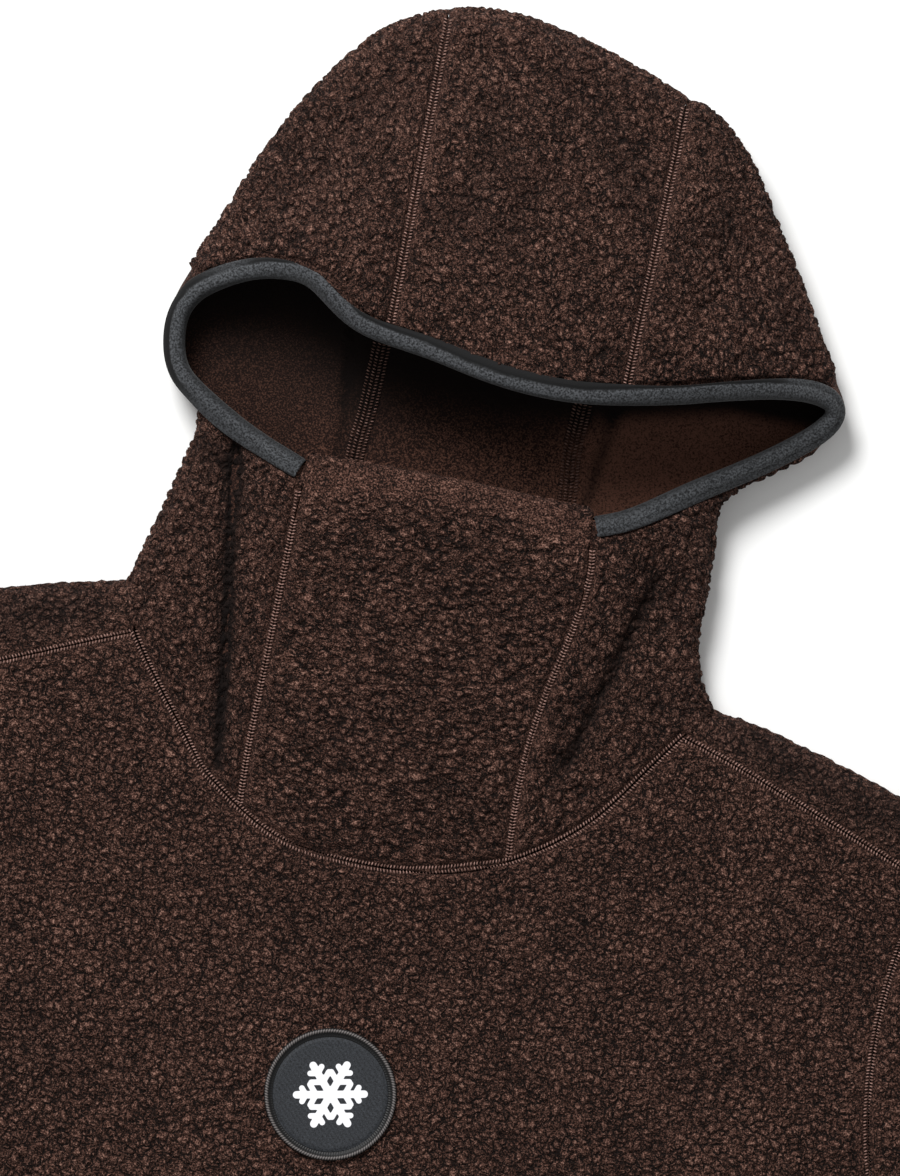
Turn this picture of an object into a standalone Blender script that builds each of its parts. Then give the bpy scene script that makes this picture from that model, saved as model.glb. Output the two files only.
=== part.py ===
# A fleece pullover hoodie with a balaclava hood, laid flat on its back.
# Tables are in millimetres, x to the viewer's right, y towards the hood, z up from the surface,
# measured from the middle of the chest patch. Meshes are in metres.

import math
from collections import namedtuple

import bmesh
import bpy
from mathutils import Vector
from mathutils.bvhtree import BVHTree
from mathutils.geometry import delaunay_2d_cdt

# Driving dimensions
mm = 0.001
clothWall = 3.0
seamGap = 0.36
bodyHemY = -525.0
hemHalfWidth = 270.0
hemDip = 4.0
hemCount = 20
cuffWidth = 105.0
patchDiameter = 52.0
bindingDepth = 7.4
bindingStrip = 9.4
bindingOverhang = 1.7
stripShareMost = 0.28
columnsEnd = 0.92
climbShare = 0.85
turnRadius = 10.0
turnShare = 0.35
sheetPitch = 27.0
relaxSteps = 220
frontStiffness = 0.12
backStiffness = 0.3

halfWall = clothWall / 2
floorLevel = halfWall
frontLevel = floorLevel + clothWall + 0.3

# Colours, linear
fleeceBrown = (0.036, 0.018, 0.014, 1.0)
bindingCharcoal = (0.030, 0.037, 0.043, 1.0)
patchCharcoal = (0.019, 0.021, 0.024, 1.0)

Station = namedtuple("Station", "floorY sideX sideY sideTop edgeX edgeY edgeZ bulge kind")

# The neck seam of each hood side, from the back neck over the shoulder to the face panel.
# The ninth point is where the shoulder seam meets the neck.
SeamPoint = namedtuple("SeamPoint", "x y z")
neckSeamLeft = [
    SeamPoint(-38, 170, 1.5),
    SeamPoint(-58, 171, 1.5),
    SeamPoint(-79, 173, 1.5),
    SeamPoint(-96, 175.5, 1.5),
    SeamPoint(-107, 178.5, 2.0),
    SeamPoint(-114, 181.5, 5.5),
    SeamPoint(-115.4, 180, 10.5),
    SeamPoint(-114, 172.5, 14.5),
    SeamPoint(-110.5, 162, 16),
    SeamPoint(-104, 152.5, 17),
    SeamPoint(-95, 141, 17.5),
    SeamPoint(-84, 127.5, 17.5),
    SeamPoint(-75, 116, 17),
    SeamPoint(-66, 109, 16.5),
    SeamPoint(-57, 103, 16),
]
neckSeamRight = [
    SeamPoint(48, 170, 1.5),
    SeamPoint(62, 170.5, 1.5),
    SeamPoint(79, 171.5, 1.5),
    SeamPoint(95, 173, 1.5),
    SeamPoint(107, 174.5, 2.0),
    SeamPoint(114, 176, 5.5),
    SeamPoint(115.5, 174.5, 10.5),
    SeamPoint(112.5, 170, 14.5),
    SeamPoint(107, 164, 16),
    SeamPoint(98, 151.5, 17),
    SeamPoint(89, 138, 17.5),
    SeamPoint(80, 126, 17.5),
    SeamPoint(70, 116.5, 17),
    SeamPoint(60, 109, 16.5),
    SeamPoint(50, 103, 16),
]
shoulderIndex = 8
footIndex = 4

# Stations of the hood sides. Each path starts on the centre panel's seam on the floor, goes round the
# side and ends on the face panel's seam, under the binding, or on the centre panel's upper seam.
hoodSideLeft = [
    Station(186, -113.0, 197, 18, -58, 124, 20, 3, "face"),
    Station(201, -109.5, 211, 19, -58, 146, 23, 3, "face"),
    Station(214, -106.5, 223, 20, -58, 170, 25, 3, "face"),
    Station(225, -104.6, 232.5, 20.5, -58, 195, 27, 3, "face"),
    Station(234, -103.5, 239.5, 20.5, -58, 217, 28.5, 3, "face"),
    Station(242, -103.0, 244, 20.5, -59, 232, 28.5, 2, "binding"),
    Station(249, -103.0, 247.5, 20.5, -71, 236, 27, 1, "binding"),
    Station(256, -103.5, 251, 20, -84, 241, 24.5, 0.5, "binding"),
    Station(263, -104.6, 254, 19.5, -96, 247, 22, 0, "binding"),
    Station(270, -109.0, 254.9, 18, -109.0, 254.9, 20, 0, "corner"),
    Station(277, -116.0, 260.3, 17, -116.0, 260.3, 18, 0, "corner"),
    Station(283, -120.5, 267.5, 16.5, -120.5, 267.5, 17, 0, "corner"),
    Station(289, -122.8, 276, 16.5, -122.8, 276, 17, 0, "corner"),
    Station(295, -123.5, 284.5, 17, -123.5, 284.5, 17.5, 0, "corner"),
    Station(301, -122.0, 292.5, 18, -122.0, 292.5, 19, 0, "corner"),
    Station(307, -119.8, 300.5, 19, -117.3, 300.5, 21, 0, "binding"),
    Station(313, -116.4, 309, 20, -110.5, 306, 24, 0, "binding"),
    Station(320, -113.0, 317.5, 21, -101.5, 311.5, 29, 1, "binding"),
    Station(328, -109.5, 326.5, 22, -89, 316.3, 34, 3, "binding"),
    Station(336, -105.5, 337, 23, -75, 317.6, 39, 5, "binding"),
    Station(344, -101.0, 350, 24, -65, 315.5, 43, 6, "binding"),
    Station(352, -95.0, 362, 25, -56.5, 309, 45, 8, "binding"),
    Station(360, -89.5, 374, 26, -47, 302, 47, 9, "binding"),
    Station(368, -84.0, 383, 26, -36, 299.5, 49, 9, "binding"),
    Station(374, -80.0, 389, 26, -36, 301, 49.5, 9, "seam"),
    Station(380, -76.0, 395, 26, -36.2, 320, 49, 8, "seam"),
    Station(387, -70.0, 403, 26, -36.5, 342, 46, 6, "seam"),
    Station(393, -63.5, 411, 26, -36.8, 364, 41.5, 4, "seam"),
    Station(399, -56.0, 415.7, 26, -37, 384, 35, 2, "seam"),
    Station(405, -48.5, 419.5, 25.5, -37.2, 400, 29, 0, "seam"),
]
hoodSideRight = [
    Station(184, 110.5, 187, 18, 48.5, 124, 20, 3, "face"),
    Station(197, 105.6, 197, 19, 48.7, 146, 23, 3, "face"),
    Station(210, 105.2, 209.5, 20, 51.5, 170, 25, 3, "face"),
    Station(221, 105.4, 221, 20.5, 56.5, 195, 27, 3, "face"),
    Station(231, 105.2, 231.5, 20.5, 59.2, 217, 28.5, 3, "face"),
    Station(240, 104.6, 240, 20.5, 57, 232.5, 28.5, 2, "binding"),
    Station(247, 103.8, 247, 20.5, 69, 236.5, 27, 1, "binding"),
    Station(255, 103.2, 252.5, 20, 80, 243.5, 24.5, 0.5, "binding"),
    Station(262, 103.8, 257.5, 19.5, 92.5, 253, 22, 0, "binding"),
    Station(269, 107.5, 262.7, 18, 107.5, 262.7, 20, 0, "corner"),
    Station(277, 119.5, 270.9, 17, 119.5, 270.9, 18, 0, "corner"),
    Station(284, 130.0, 279, 16.5, 130, 279, 17, 0, "corner"),
    Station(291, 139.6, 287.3, 16.5, 139.6, 287.3, 17, 0, "corner"),
    Station(297, 144.8, 295, 17, 144.8, 295, 17.5, 0, "corner"),
    Station(303, 145.6, 302, 18, 145.6, 302, 19, 0, "corner"),
    Station(309, 142.0, 308.5, 19, 140.5, 308.3, 21, 0, "binding"),
    Station(315, 137.0, 315.5, 20, 131.5, 310.6, 24, 0, "binding"),
    Station(321, 132.4, 322.5, 21, 121.5, 310, 29, 1, "binding"),
    Station(328, 128.2, 329.5, 22, 111, 308.3, 34, 3, "binding"),
    Station(335, 123.6, 337, 23, 100, 305.6, 39, 5, "binding"),
    Station(342, 119.0, 344.5, 24, 90, 303, 43, 6, "binding"),
    Station(349, 114.4, 352, 25, 80, 300, 46, 8, "binding"),
    Station(355, 109.0, 360, 26, 69, 297.3, 49, 9, "binding"),
    Station(361, 103.3, 368.5, 26, 58.5, 294.8, 51.5, 9, "binding"),
    Station(366, 99.2, 375, 26, 58.5, 296.5, 52, 9, "seam"),
    Station(371, 94.8, 382, 26, 58.6, 315, 51, 8, "seam"),
    Station(377, 88.6, 390.5, 26, 59, 334, 48, 6, "seam"),
    Station(382, 81.6, 397.5, 26, 59.3, 353, 43, 4, "seam"),
    Station(387, 74.4, 403.7, 26, 59.6, 371, 36, 2, "seam"),
    Station(391, 67.5, 406.8, 25.5, 59.8, 386, 29.5, 0, "seam"),
]

# Where each end of the centre panel's crown turns over: the seam's turn, floor to top.
Turn = namedtuple("Turn", "x floorY outY topY topZ")
crownTurnLeft = Turn(-37.8, 411, 422, 409, 26)
crownTurnRight = Turn(59.4, 395, 406, 396, 26)

# The centre panel's seam on the floor, x at a height y of the plan.
SeamX = namedtuple("SeamX", "y left right")
floorSeams = [
    SeamX(165, -38, 48),
    SeamX(243, -40, 45),
    SeamX(271, -38.5, 43),
    SeamX(330, -38, 47),
    SeamX(380, -38, 56.2),
    SeamX(392, -37.9, 59),
    SeamX(415, -37.8, 59.4),
]

# The binding's edge across the centre panel, between its two seams.
BrimPoint = namedtuple("BrimPoint", "x y z")
brimMiddle = [
    BrimPoint(-20, 297, 52.5),
    BrimPoint(-4, 293.2, 55),
    BrimPoint(12, 290.8, 56.5),
    BrimPoint(28, 290.2, 56.5),
    BrimPoint(44, 291.5, 55),
]

# How far the centre panel's silhouette stands past a straight line between its seams.
crownRises = (6.4, 8.2, 7.6, 6.0, 3.6)
crownRiseRows = 7
crownFadeRows = 8
crownDome = 6.0
crownHeight = 26.0
brimFadeRows = 3.5

# The face panel's rise over its flat form, the dip of its foot, the lift of its top edge
# and that edge's turn: along the panel and down.
faceDome = 6.0
faceDrop = 12.0
faceLift = 1.6
faceColumns = 8
faceTurn = ((1.9, -1.0), (2.7, -3.1), (1.8, -5.4))

# The stations below this height have their edge on the lower side of the opening.
openingMiddleY = 262.0

# The shoulder's roll: how far in from the fold, and how high.
shoulderRoll = ((7.0, halfWall), (2.6, 4.2), (halfWall, 8.6), (7.5, 13.6))
shoulderRollClear = 0.4

# The binding's section: across from the cloth's edge, and up from the cloth's face or middle.
bindingOnCloth = ((-3.6, 1.1), (-7.1, 0.9), (-7.1, 1.6), (-6.3, 2.1), (-3.4, 2.3))
bindingRoundEdge = (
    (0.2, 3.6),
    (1.4, 2.3),
    (1.8, 0.0),
    (1.4, -2.0),
    (0.2, -3.1),
    (-1.4, -3.1),
    (-1.4, -2.2),
    (0.5, -2.2),
    (0.5, 2.6),
)
bindingEndTrim = 0.12
bindingProbe = 8.0
bindingAside = 1.5

# The patch's section: share of its radius, and height over its underside. Then its underside's rings.
patchTop = ((0.36, 1.2), (0.72, 1.2), (0.865, 1.2), (0.895, 2.0), (0.94, 2.4), (0.985, 2.0), (1.0, 1.0))
patchUnder = (1.0, 0.6)
patchThickness = 1.2
patchClear = 0.5
patchSegments = 36

# Folds pressed into the upper layers: a line, its depth and its half width.
Fold = namedtuple("Fold", "x0 y0 x1 y1 depth width")
neckFolds = [
    Fold(-88, 246, -78, 190, 6.5, 8),
    Fold(-78, 190, -71, 128, 5.0, 8),
    Fold(88, 226, 78, 190, 5.0, 11),
    Fold(78, 190, 62, 138, 4.0, 11),
]
crownFolds = [
    Fold(-86, 364, -62, 336, 4.0, 11),
    Fold(16, 362, 2, 318, 3.0, 14),
    Fold(84, 366, 96, 330, 3.0, 13),
    Fold(-48, 392, -44, 340, 2.5, 8),
]

# The shoulder line: the seam on the front and the fold behind it, neck to sleeve.
Shoulder = namedtuple("Shoulder", "seamX seamY seamZ foldX foldY")
shoulderRight = [
    Shoulder(127, 158, 15.5, 130, 176.0),
    Shoulder(148, 150.5, 15, 152, 171.0),
    Shoulder(170, 142.5, 14.5, 175, 164.5),
    Shoulder(192, 134.5, 14, 199, 157.5),
    Shoulder(214, 126, 13, 221, 150.5),
]
shoulderLeft = [
    Shoulder(-127, 155, 15.5, -132, 178.5),
    Shoulder(-146, 146.5, 15, -152, 173.0),
    Shoulder(-166, 138, 14.5, -173, 167.0),
    Shoulder(-192, 128, 14, -200, 158.0),
    Shoulder(-217, 118, 13, -225, 146.0),
]

# The armholes from the shoulder to the underarm, then the side seams to the hem.
PlanPoint = namedtuple("PlanPoint", "x y z")
armholeRight = [
    PlanPoint(214, 126, 13),
    PlanPoint(208, 108, 9.5),
    PlanPoint(205, 88, 7.5),
    PlanPoint(204, 68, 6.2),
    PlanPoint(205.5, 45, 5.4),
    PlanPoint(210, 20, 4.9),
    PlanPoint(219, -6, 4.8),
    PlanPoint(232, -30, 4.8),
    PlanPoint(248, -52, 4.8),
]
armholeLeft = [
    PlanPoint(-217, 118, 13),
    PlanPoint(-212, 100, 9.5),
    PlanPoint(-209, 80, 7.5),
    PlanPoint(-208, 60, 6.2),
    PlanPoint(-209.5, 38, 5.4),
    PlanPoint(-214, 13, 4.9),
    PlanPoint(-223, -12, 4.8),
    PlanPoint(-236, -36, 4.8),
    PlanPoint(-252, -57, 4.8),
]
sideSeam = [(247, -76), (250, -104), (256, -150), (262, -220), (266, -300), (268, -390), (270, -470)]

# Soft rolls over the chest and belly, and the drag lines from the underarms.
bodyFolds = [
    Fold(-196, 60, -120, -20, -2.4, 16),
    Fold(198, 66, 128, -30, -2.4, 16),
    Fold(-225, -60, -120, -190, -2.8, 17),
    Fold(228, -70, 140, -170, -2.8, 17),
    Fold(-60, 60, -90, -60, 1.6, 22),
    Fold(-90, -300, 30, -340, -2.6, 20),
    Fold(40, -420, 190, -390, -2.6, 20),
    Fold(-230, -420, -120, -460, -2.4, 18),
]

# Sleeves: how far along each ring stands, from the armhole to the cuff, and how far it puffs up.
SleeveRow = namedtuple("SleeveRow", "along puff")
sleeveRows = [
    SleeveRow(0.05, 0.0),
    SleeveRow(0.11, 0.4),
    SleeveRow(0.18, 1.0),
    SleeveRow(0.26, 1.7),
    SleeveRow(0.34, 1.0),
    SleeveRow(0.42, 1.9),
    SleeveRow(0.50, 1.3),
    SleeveRow(0.59, 2.0),
    SleeveRow(0.68, 1.1),
    SleeveRow(0.77, 1.9),
    SleeveRow(0.86, 1.2),
    SleeveRow(0.94, 0.8),
    SleeveRow(1.00, 0.4),
]
sleeveAngle = 46.0
underarmLength = 470.0
sleeveTopReach = 95.0
sleeveTopDrop = 0.33
sleeveCuffPull = 0.45
sleeveFade = 0.3
sleeveFoldOut = 2.2
sleeveLevel = frontLevel + 0.5


def lerp(a, b, t):
    return a + (b - a) * t


def ease(t):
    t = min(max(t, 0.0), 1.0)
    return t * t * (3 - 2 * t)


def foldDepth(x, y, folds):
    total = 0.0
    for fold in folds:
        start = Vector((fold.x0, fold.y0))
        along = Vector((fold.x1, fold.y1)) - start
        t = min(max((Vector((x, y)) - start).dot(along) / along.length_squared, 0.0), 1.0)
        away = (Vector((x, y)) - start - along * t).length
        ends = ease(min(t, 1 - t) * 5 + 0.35)
        total += fold.depth * ends * math.exp(-((away / fold.width) ** 2))
    return total


def seamAt(y, side):
    rows = floorSeams
    for low, high in zip(rows, rows[1:]):
        if y <= high.y:
            t = (y - low.y) / (high.y - low.y)
            return lerp(getattr(low, side), getattr(high, side), t)
    return getattr(rows[-1], side)


# The binding's edge on the fleece, round the opening, as plan points with the row they come from.
def bindingLine():
    points = []
    for index, row in enumerate(hoodSideLeft):
        if row.kind in ("binding", "corner"):
            points.append((Vector((row.edgeX, row.edgeY)), ("left", index)))
    for index, row in enumerate(brimMiddle):
        points.append((Vector((row.x, row.y)), ("middle", index)))
    for index, row in reversed(list(enumerate(hoodSideRight))):
        if row.kind in ("binding", "corner"):
            points.append((Vector((row.edgeX, row.edgeY)), ("right", index)))
    return points


# For each point of the binding's line, the plan direction into the opening.
def inwardDirections():
    line = bindingLine()
    inward = {}
    for i, (point, key) in enumerate(line):
        before = line[max(i - 1, 0)][0]
        after = line[min(i + 1, len(line) - 1)][0]
        along = (after - before).normalized()
        inward[key] = Vector((along.y, -along.x))
    return inward


# One path of a hood side: along the floor, round the side and over to its edge.
def stationPath(row, start, inward):
    isCorner = row.kind == "corner"
    outer = Vector((row.sideX, row.sideY))
    edge = Vector((row.edgeX, row.edgeY))
    if inward is not None:
        edge = edge + inward * bindingDepth
    fromFloor = (outer - start).normalized()
    fromEdge = (outer - edge).normalized()
    if isCorner:
        side = outer + inward * bindingOverhang
        fromEdge = (side - edge).normalized()
    else:
        side = outer - (fromFloor + fromEdge).normalized() * halfWall
    reach = (side - edge).length
    upperRadius = reach if isCorner else min(turnRadius, turnShare * reach)
    lowerRadius = min(turnRadius, turnShare * (side - start).length)
    foot = side - (side - start).normalized() * lowerRadius
    path = []
    for i in range(footIndex):
        plan = start.lerp(foot, i / footIndex)
        path.append(Vector((plan.x, plan.y, floorLevel)))
    upperTurns = [90 + 11.25 * i for i in range(9)] if isCorner else [90, 135]
    topZ = row.edgeZ if isCorner else row.sideTop
    for turn in [0, 45] + upperTurns:
        angle = math.radians(turn)
        direction = (side - start).normalized() if turn < 90 else fromEdge
        radius = lowerRadius if turn < 90 else upperRadius
        plan = side - direction * radius * (1 - math.sin(angle))
        rise = (1 - math.cos(angle)) / 2
        path.append(Vector((plan.x, plan.y, lerp(floorLevel, topZ, rise))))
    if isCorner:
        return path
    top = side - fromEdge * upperRadius
    run = (top - edge).length
    strip = 1 - min(bindingStrip / run, stripShareMost)
    for t in [columnsEnd * strip * i / 5 for i in range(5)] + [strip, 1.0]:
        plan = top.lerp(edge, t)
        share = ease(t * climbShare) / ease(climbShare)
        height = lerp(row.sideTop, row.edgeZ, share) + row.bulge * 4 * t * (1 - t)
        folds = neckFolds if row.edgeY < openingMiddleY else crownFolds
        height -= foldDepth(plan.x, plan.y, folds)
        path.append(Vector((plan.x, plan.y, height)))
    return path


# The crown's turn along a seam, with as many points as a station's path.
def turnPath(turn, count):
    path = []
    for i in range(count):
        angle = math.pi * i / (count - 1)
        base = lerp(turn.floorY, turn.topY, i / (count - 1))
        y = base + (turn.outY - base) * math.sin(angle)
        z = lerp(floorLevel, turn.topZ, (1 - math.cos(angle)) / 2)
        path.append(Vector((turn.x, y, z)))
    return path


# All paths of one hood side, from the neck seam to the crown's turn.
def hoodSideRows(stations, seamPoints, side, turn, inward):
    rows = [[Vector(point) for point in seamPoints]]
    for index, row in enumerate(stations):
        start = Vector((seamAt(row.floorY, side), row.floorY))
        rows.append(stationPath(row, start, inward.get((side, index))))
    rows.append(turnPath(turn, len(rows[0])))
    return rows


# Rows across the centre panel: back neck, floor, crown, top and brim.
def hoodCenterRows(left, right, inward, columns):
    seamRows = [i for i, row in enumerate(hoodSideLeft) if row.kind == "seam"]
    last = len(left) - 1
    pairs = [(left[i][0], right[i][0]) for i in range(last + 1)]
    floorCount = len(pairs)
    pairs += [(left[last][j], right[last][j]) for j in range(1, len(left[last]))]
    crownEnd = len(pairs)
    topRows = [i + 1 for i in reversed(seamRows)] + [seamRows[0]]
    pairs += [(left[i][-1], right[i][-1]) for i in topRows]
    crownMiddle = (floorCount + crownEnd) / 2
    rows = []
    for number, (start, end) in enumerate(pairs):
        row = []
        onTop = number >= crownEnd
        past = max(abs(number - crownMiddle) - crownRiseRows, 0)
        near = ease(1 - past / crownFadeRows)
        nearBrim = ease(1 - (len(pairs) - 1 - number) / brimFadeRows)
        for j in range(columns + 1):
            t = j / columns
            point = start.lerp(end, t)
            if 0 < j < columns:
                arch = 4 * t * (1 - t)
                point.y += crownRises[j - 1] * near
                if number > floorCount:
                    height = min(point.z / crownHeight, 1.0)
                    point.z += crownDome * arch * height * height
                if onTop:
                    point.z -= foldDepth(point.x, point.y, crownFolds)
                    brim = brimMiddle[j - 1]
                    flat = start.lerp(end, t)
                    target = Vector((brim.x, brim.y - bindingDepth, brim.z))
                    point += (target - flat - Vector((0, 0, crownDome * arch))) * nearBrim
            row.append(point)
        rows.append(row)
    return rows


# Rows across the face panel from the neck seam up, with its top edge turned over.
def facePanelRows(left, right, columns):
    count = 1 + sum(1 for row in hoodSideLeft if row.kind == "face") + 1
    rows = []
    for i in range(count):
        start = left[i][-1]
        end = right[i][-1]
        row = []
        for j in range(columns + 1):
            t = j / columns
            point = start.lerp(end, t)
            arch = 4 * t * (1 - t)
            point.z += faceDome * arch * (0.35 + 0.65 * ease(i / (count - 1)))
            point.y -= faceDrop * arch**0.6 * (1 - i / (count - 1)) ** 2
            if i == count - 1:
                point.y += faceLift * arch
            row.append(point)
        rows.append(row)
    topRow = rows[-1]
    for along, down in faceTurn:
        rows.append([point + Vector((0, along, down)) for point in topRow])
    return rows


# Vertices and triangles of a grid of rows, each cell cut along its shorter diagonal.
def gridPanel(rows):
    width = len(rows[0])
    points = [point for row in rows for point in row]
    faces = []
    for i in range(len(rows) - 1):
        for j in range(width - 1):
            a = i * width + j
            b = a + 1
            c = a + width + 1
            d = a + width
            if (points[a] - points[c]).length <= (points[b] - points[d]).length:
                faces += [(a, b, c), (a, c, d)]
            else:
                faces += [(a, b, d), (b, c, d)]
    return points, faces


def flipped(faces):
    return [tuple(reversed(face)) for face in faces]


def insideOutline(point, outline):
    inside = False
    for a, b in zip(outline, outline[1:] + outline[:1]):
        if (a.y > point.y) != (b.y > point.y):
            cross = (b.x - a.x) * (point.y - a.y) / (b.y - a.y) + a.x
            if point.x < cross:
                inside = not inside
    return inside


def clearOf(point, outline, distance):
    for a, b in zip(outline, outline[1:] + outline[:1]):
        along = b - a
        t = min(max((point - a).dot(along) / along.length_squared, 0.0), 1.0)
        if (point - a - along * t).length < distance:
            return False
    return True


# A laid panel inside a closed outline. Its edge keeps the outline's heights and its middle sinks to
# a level, the sooner the higher the stiffness is.
def sheetPanel(boundary, level, stiffness, folds):
    outline = [Vector((point.x, point.y)) for point in boundary]
    plan = list(outline)
    lowX = min(point.x for point in outline)
    highX = max(point.x for point in outline)
    lowY = min(point.y for point in outline)
    highY = max(point.y for point in outline)
    rowStep = sheetPitch * math.sqrt(3) / 2
    for i in range(int((highY - lowY) / rowStep) + 1):
        shift = sheetPitch / 2 if i % 2 else 0.0
        for j in range(int((highX - lowX) / sheetPitch) + 2):
            point = Vector((lowX + shift + j * sheetPitch, lowY + rowStep / 2 + i * rowStep))
            if insideOutline(point, outline) and clearOf(point, outline, 0.5 * sheetPitch):
                plan.append(point)
    ring = list(range(len(outline)))
    plan, edges, faces = delaunay_2d_cdt(plan, [], [ring], 1, 0.001)[:3]
    edgeCount = len(outline)
    heights = [point.z for point in boundary] + [level] * (len(plan) - edgeCount)
    near = [[] for point in plan]
    for a, b in edges:
        near[a].append(b)
        near[b].append(a)
    for _ in range(relaxSteps):
        heights = [
            heights[i]
            if i < edgeCount or not near[i]
            else (sum(heights[n] for n in near[i]) / len(near[i]) + stiffness * level) / (1 + stiffness)
            for i in range(len(plan))
        ]
    points = []
    for i, point in enumerate(plan):
        lift = 0.0 if i < edgeCount else max(-foldDepth(point.x, point.y, folds), level - heights[i])
        points.append(Vector((point.x, point.y, heights[i] + lift)))
    return points, [tuple(face) for face in faces]


# The back panel's roll over the shoulder, as columns from the neck to the sleeve.
def shoulderStrip(seamPoints, table):
    columns = [[Vector(seamPoints[i]) for i in range(footIndex, shoulderIndex + 1)]]
    for row in table:
        seam = Vector((row.seamX, row.seamY))
        fold = Vector((row.foldX, row.foldY))
        back = (fold - seam).normalized()
        column = []
        for inset, height in shoulderRoll:
            plan = fold - back * inset
            column.append(Vector((plan.x, plan.y, min(height, row.seamZ + shoulderRollClear))))
        column.append(Vector((row.seamX, row.seamY, row.seamZ)))
        columns.append(column)
    return columns


def sideSeamPoints(sign, corner, level):
    points = [Vector((corner.x - sign * 1.5, corner.y + 1.0, level))]
    points += [Vector((sign * x, y, level)) for x, y in sideSeam]
    points.append(Vector((sign * hemHalfWidth, bodyHemY, level)))
    return points


def hemPoints(level):
    points = []
    for i in range(1, hemCount):
        x = lerp(-hemHalfWidth, hemHalfWidth, i / hemCount)
        y = bodyHemY - hemDip * math.sin(math.pi * i / hemCount)
        points.append(Vector((x, y, level)))
    return points


# Outline: hem, right side, armhole, shoulder, neck, and down the left again.
def bodyFrontPanel(left, right, faceRows, stripLeft, stripRight):
    boundary = hemPoints(frontLevel)
    boundary += list(reversed(sideSeamPoints(1, armholeRight[-1], frontLevel)))
    boundary += [Vector(point) for point in reversed(armholeRight[:-1])]
    boundary += [column[-1] for column in reversed(stripRight[1:-1])]
    boundary += right[0][shoulderIndex:-1]
    boundary += list(reversed(faceRows[0]))
    boundary += list(reversed(left[0][shoulderIndex:-1]))
    boundary += [column[-1] for column in stripLeft[1:-1]]
    boundary += [Vector(point) for point in armholeLeft[:-1]]
    boundary += sideSeamPoints(-1, armholeLeft[-1], frontLevel)
    return sheetPanel(boundary, frontLevel, frontStiffness, bodyFolds)


# The armhole under the front's: from the foot of the shoulder's roll to the underarm.
def backArmhole(armhole, strip):
    foot = strip[-1][0]
    points = [Vector(foot)]
    second = Vector((armhole[1].x, armhole[1].y, floorLevel))
    points.append(points[0].lerp(second, 0.55))
    points += [Vector((point.x, point.y, floorLevel)) for point in armhole[1:]]
    for point in points:
        point.z = floorLevel
    return points


def bodyBackPanel(left, right, centerRows, stripLeft, stripRight):
    boundary = hemPoints(floorLevel)
    boundary += list(reversed(sideSeamPoints(1, armholeRight[-1], floorLevel)))
    boundary += list(reversed(backArmhole(armholeRight, stripRight)[:-1]))
    boundary += [column[0] for column in reversed(stripRight[1:-1])]
    boundary += list(reversed(right[0][1 : footIndex + 1]))
    boundary += list(reversed(centerRows[0]))
    boundary += left[0][1 : footIndex + 1]
    boundary += [column[0] for column in stripLeft[1:-1]]
    boundary += backArmhole(armholeLeft, stripLeft)[:-1]
    boundary += sideSeamPoints(-1, armholeLeft[-1], floorLevel)
    points, faces = sheetPanel(boundary, floorLevel, backStiffness, [])
    faces = flipped(faces)
    for strip, turnOver in ((stripRight, False), (stripLeft, True)):
        more, cells = gridPanel(strip)
        if turnOver:
            cells = flipped(cells)
        points, faces = joined(points, faces, more, cells)
    return points, faces


# Two panels as one, with the points that coincide shared.
def joined(points, faces, more, cells):
    places = {tuple(round(c, 3) for c in point): i for i, point in enumerate(points)}
    points = list(points)
    index = []
    for point in more:
        key = tuple(round(c, 3) for c in point)
        if key not in places:
            places[key] = len(points)
            points.append(point)
        index.append(places[key])
    return points, faces + [tuple(index[i] for i in cell) for cell in cells]


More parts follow.
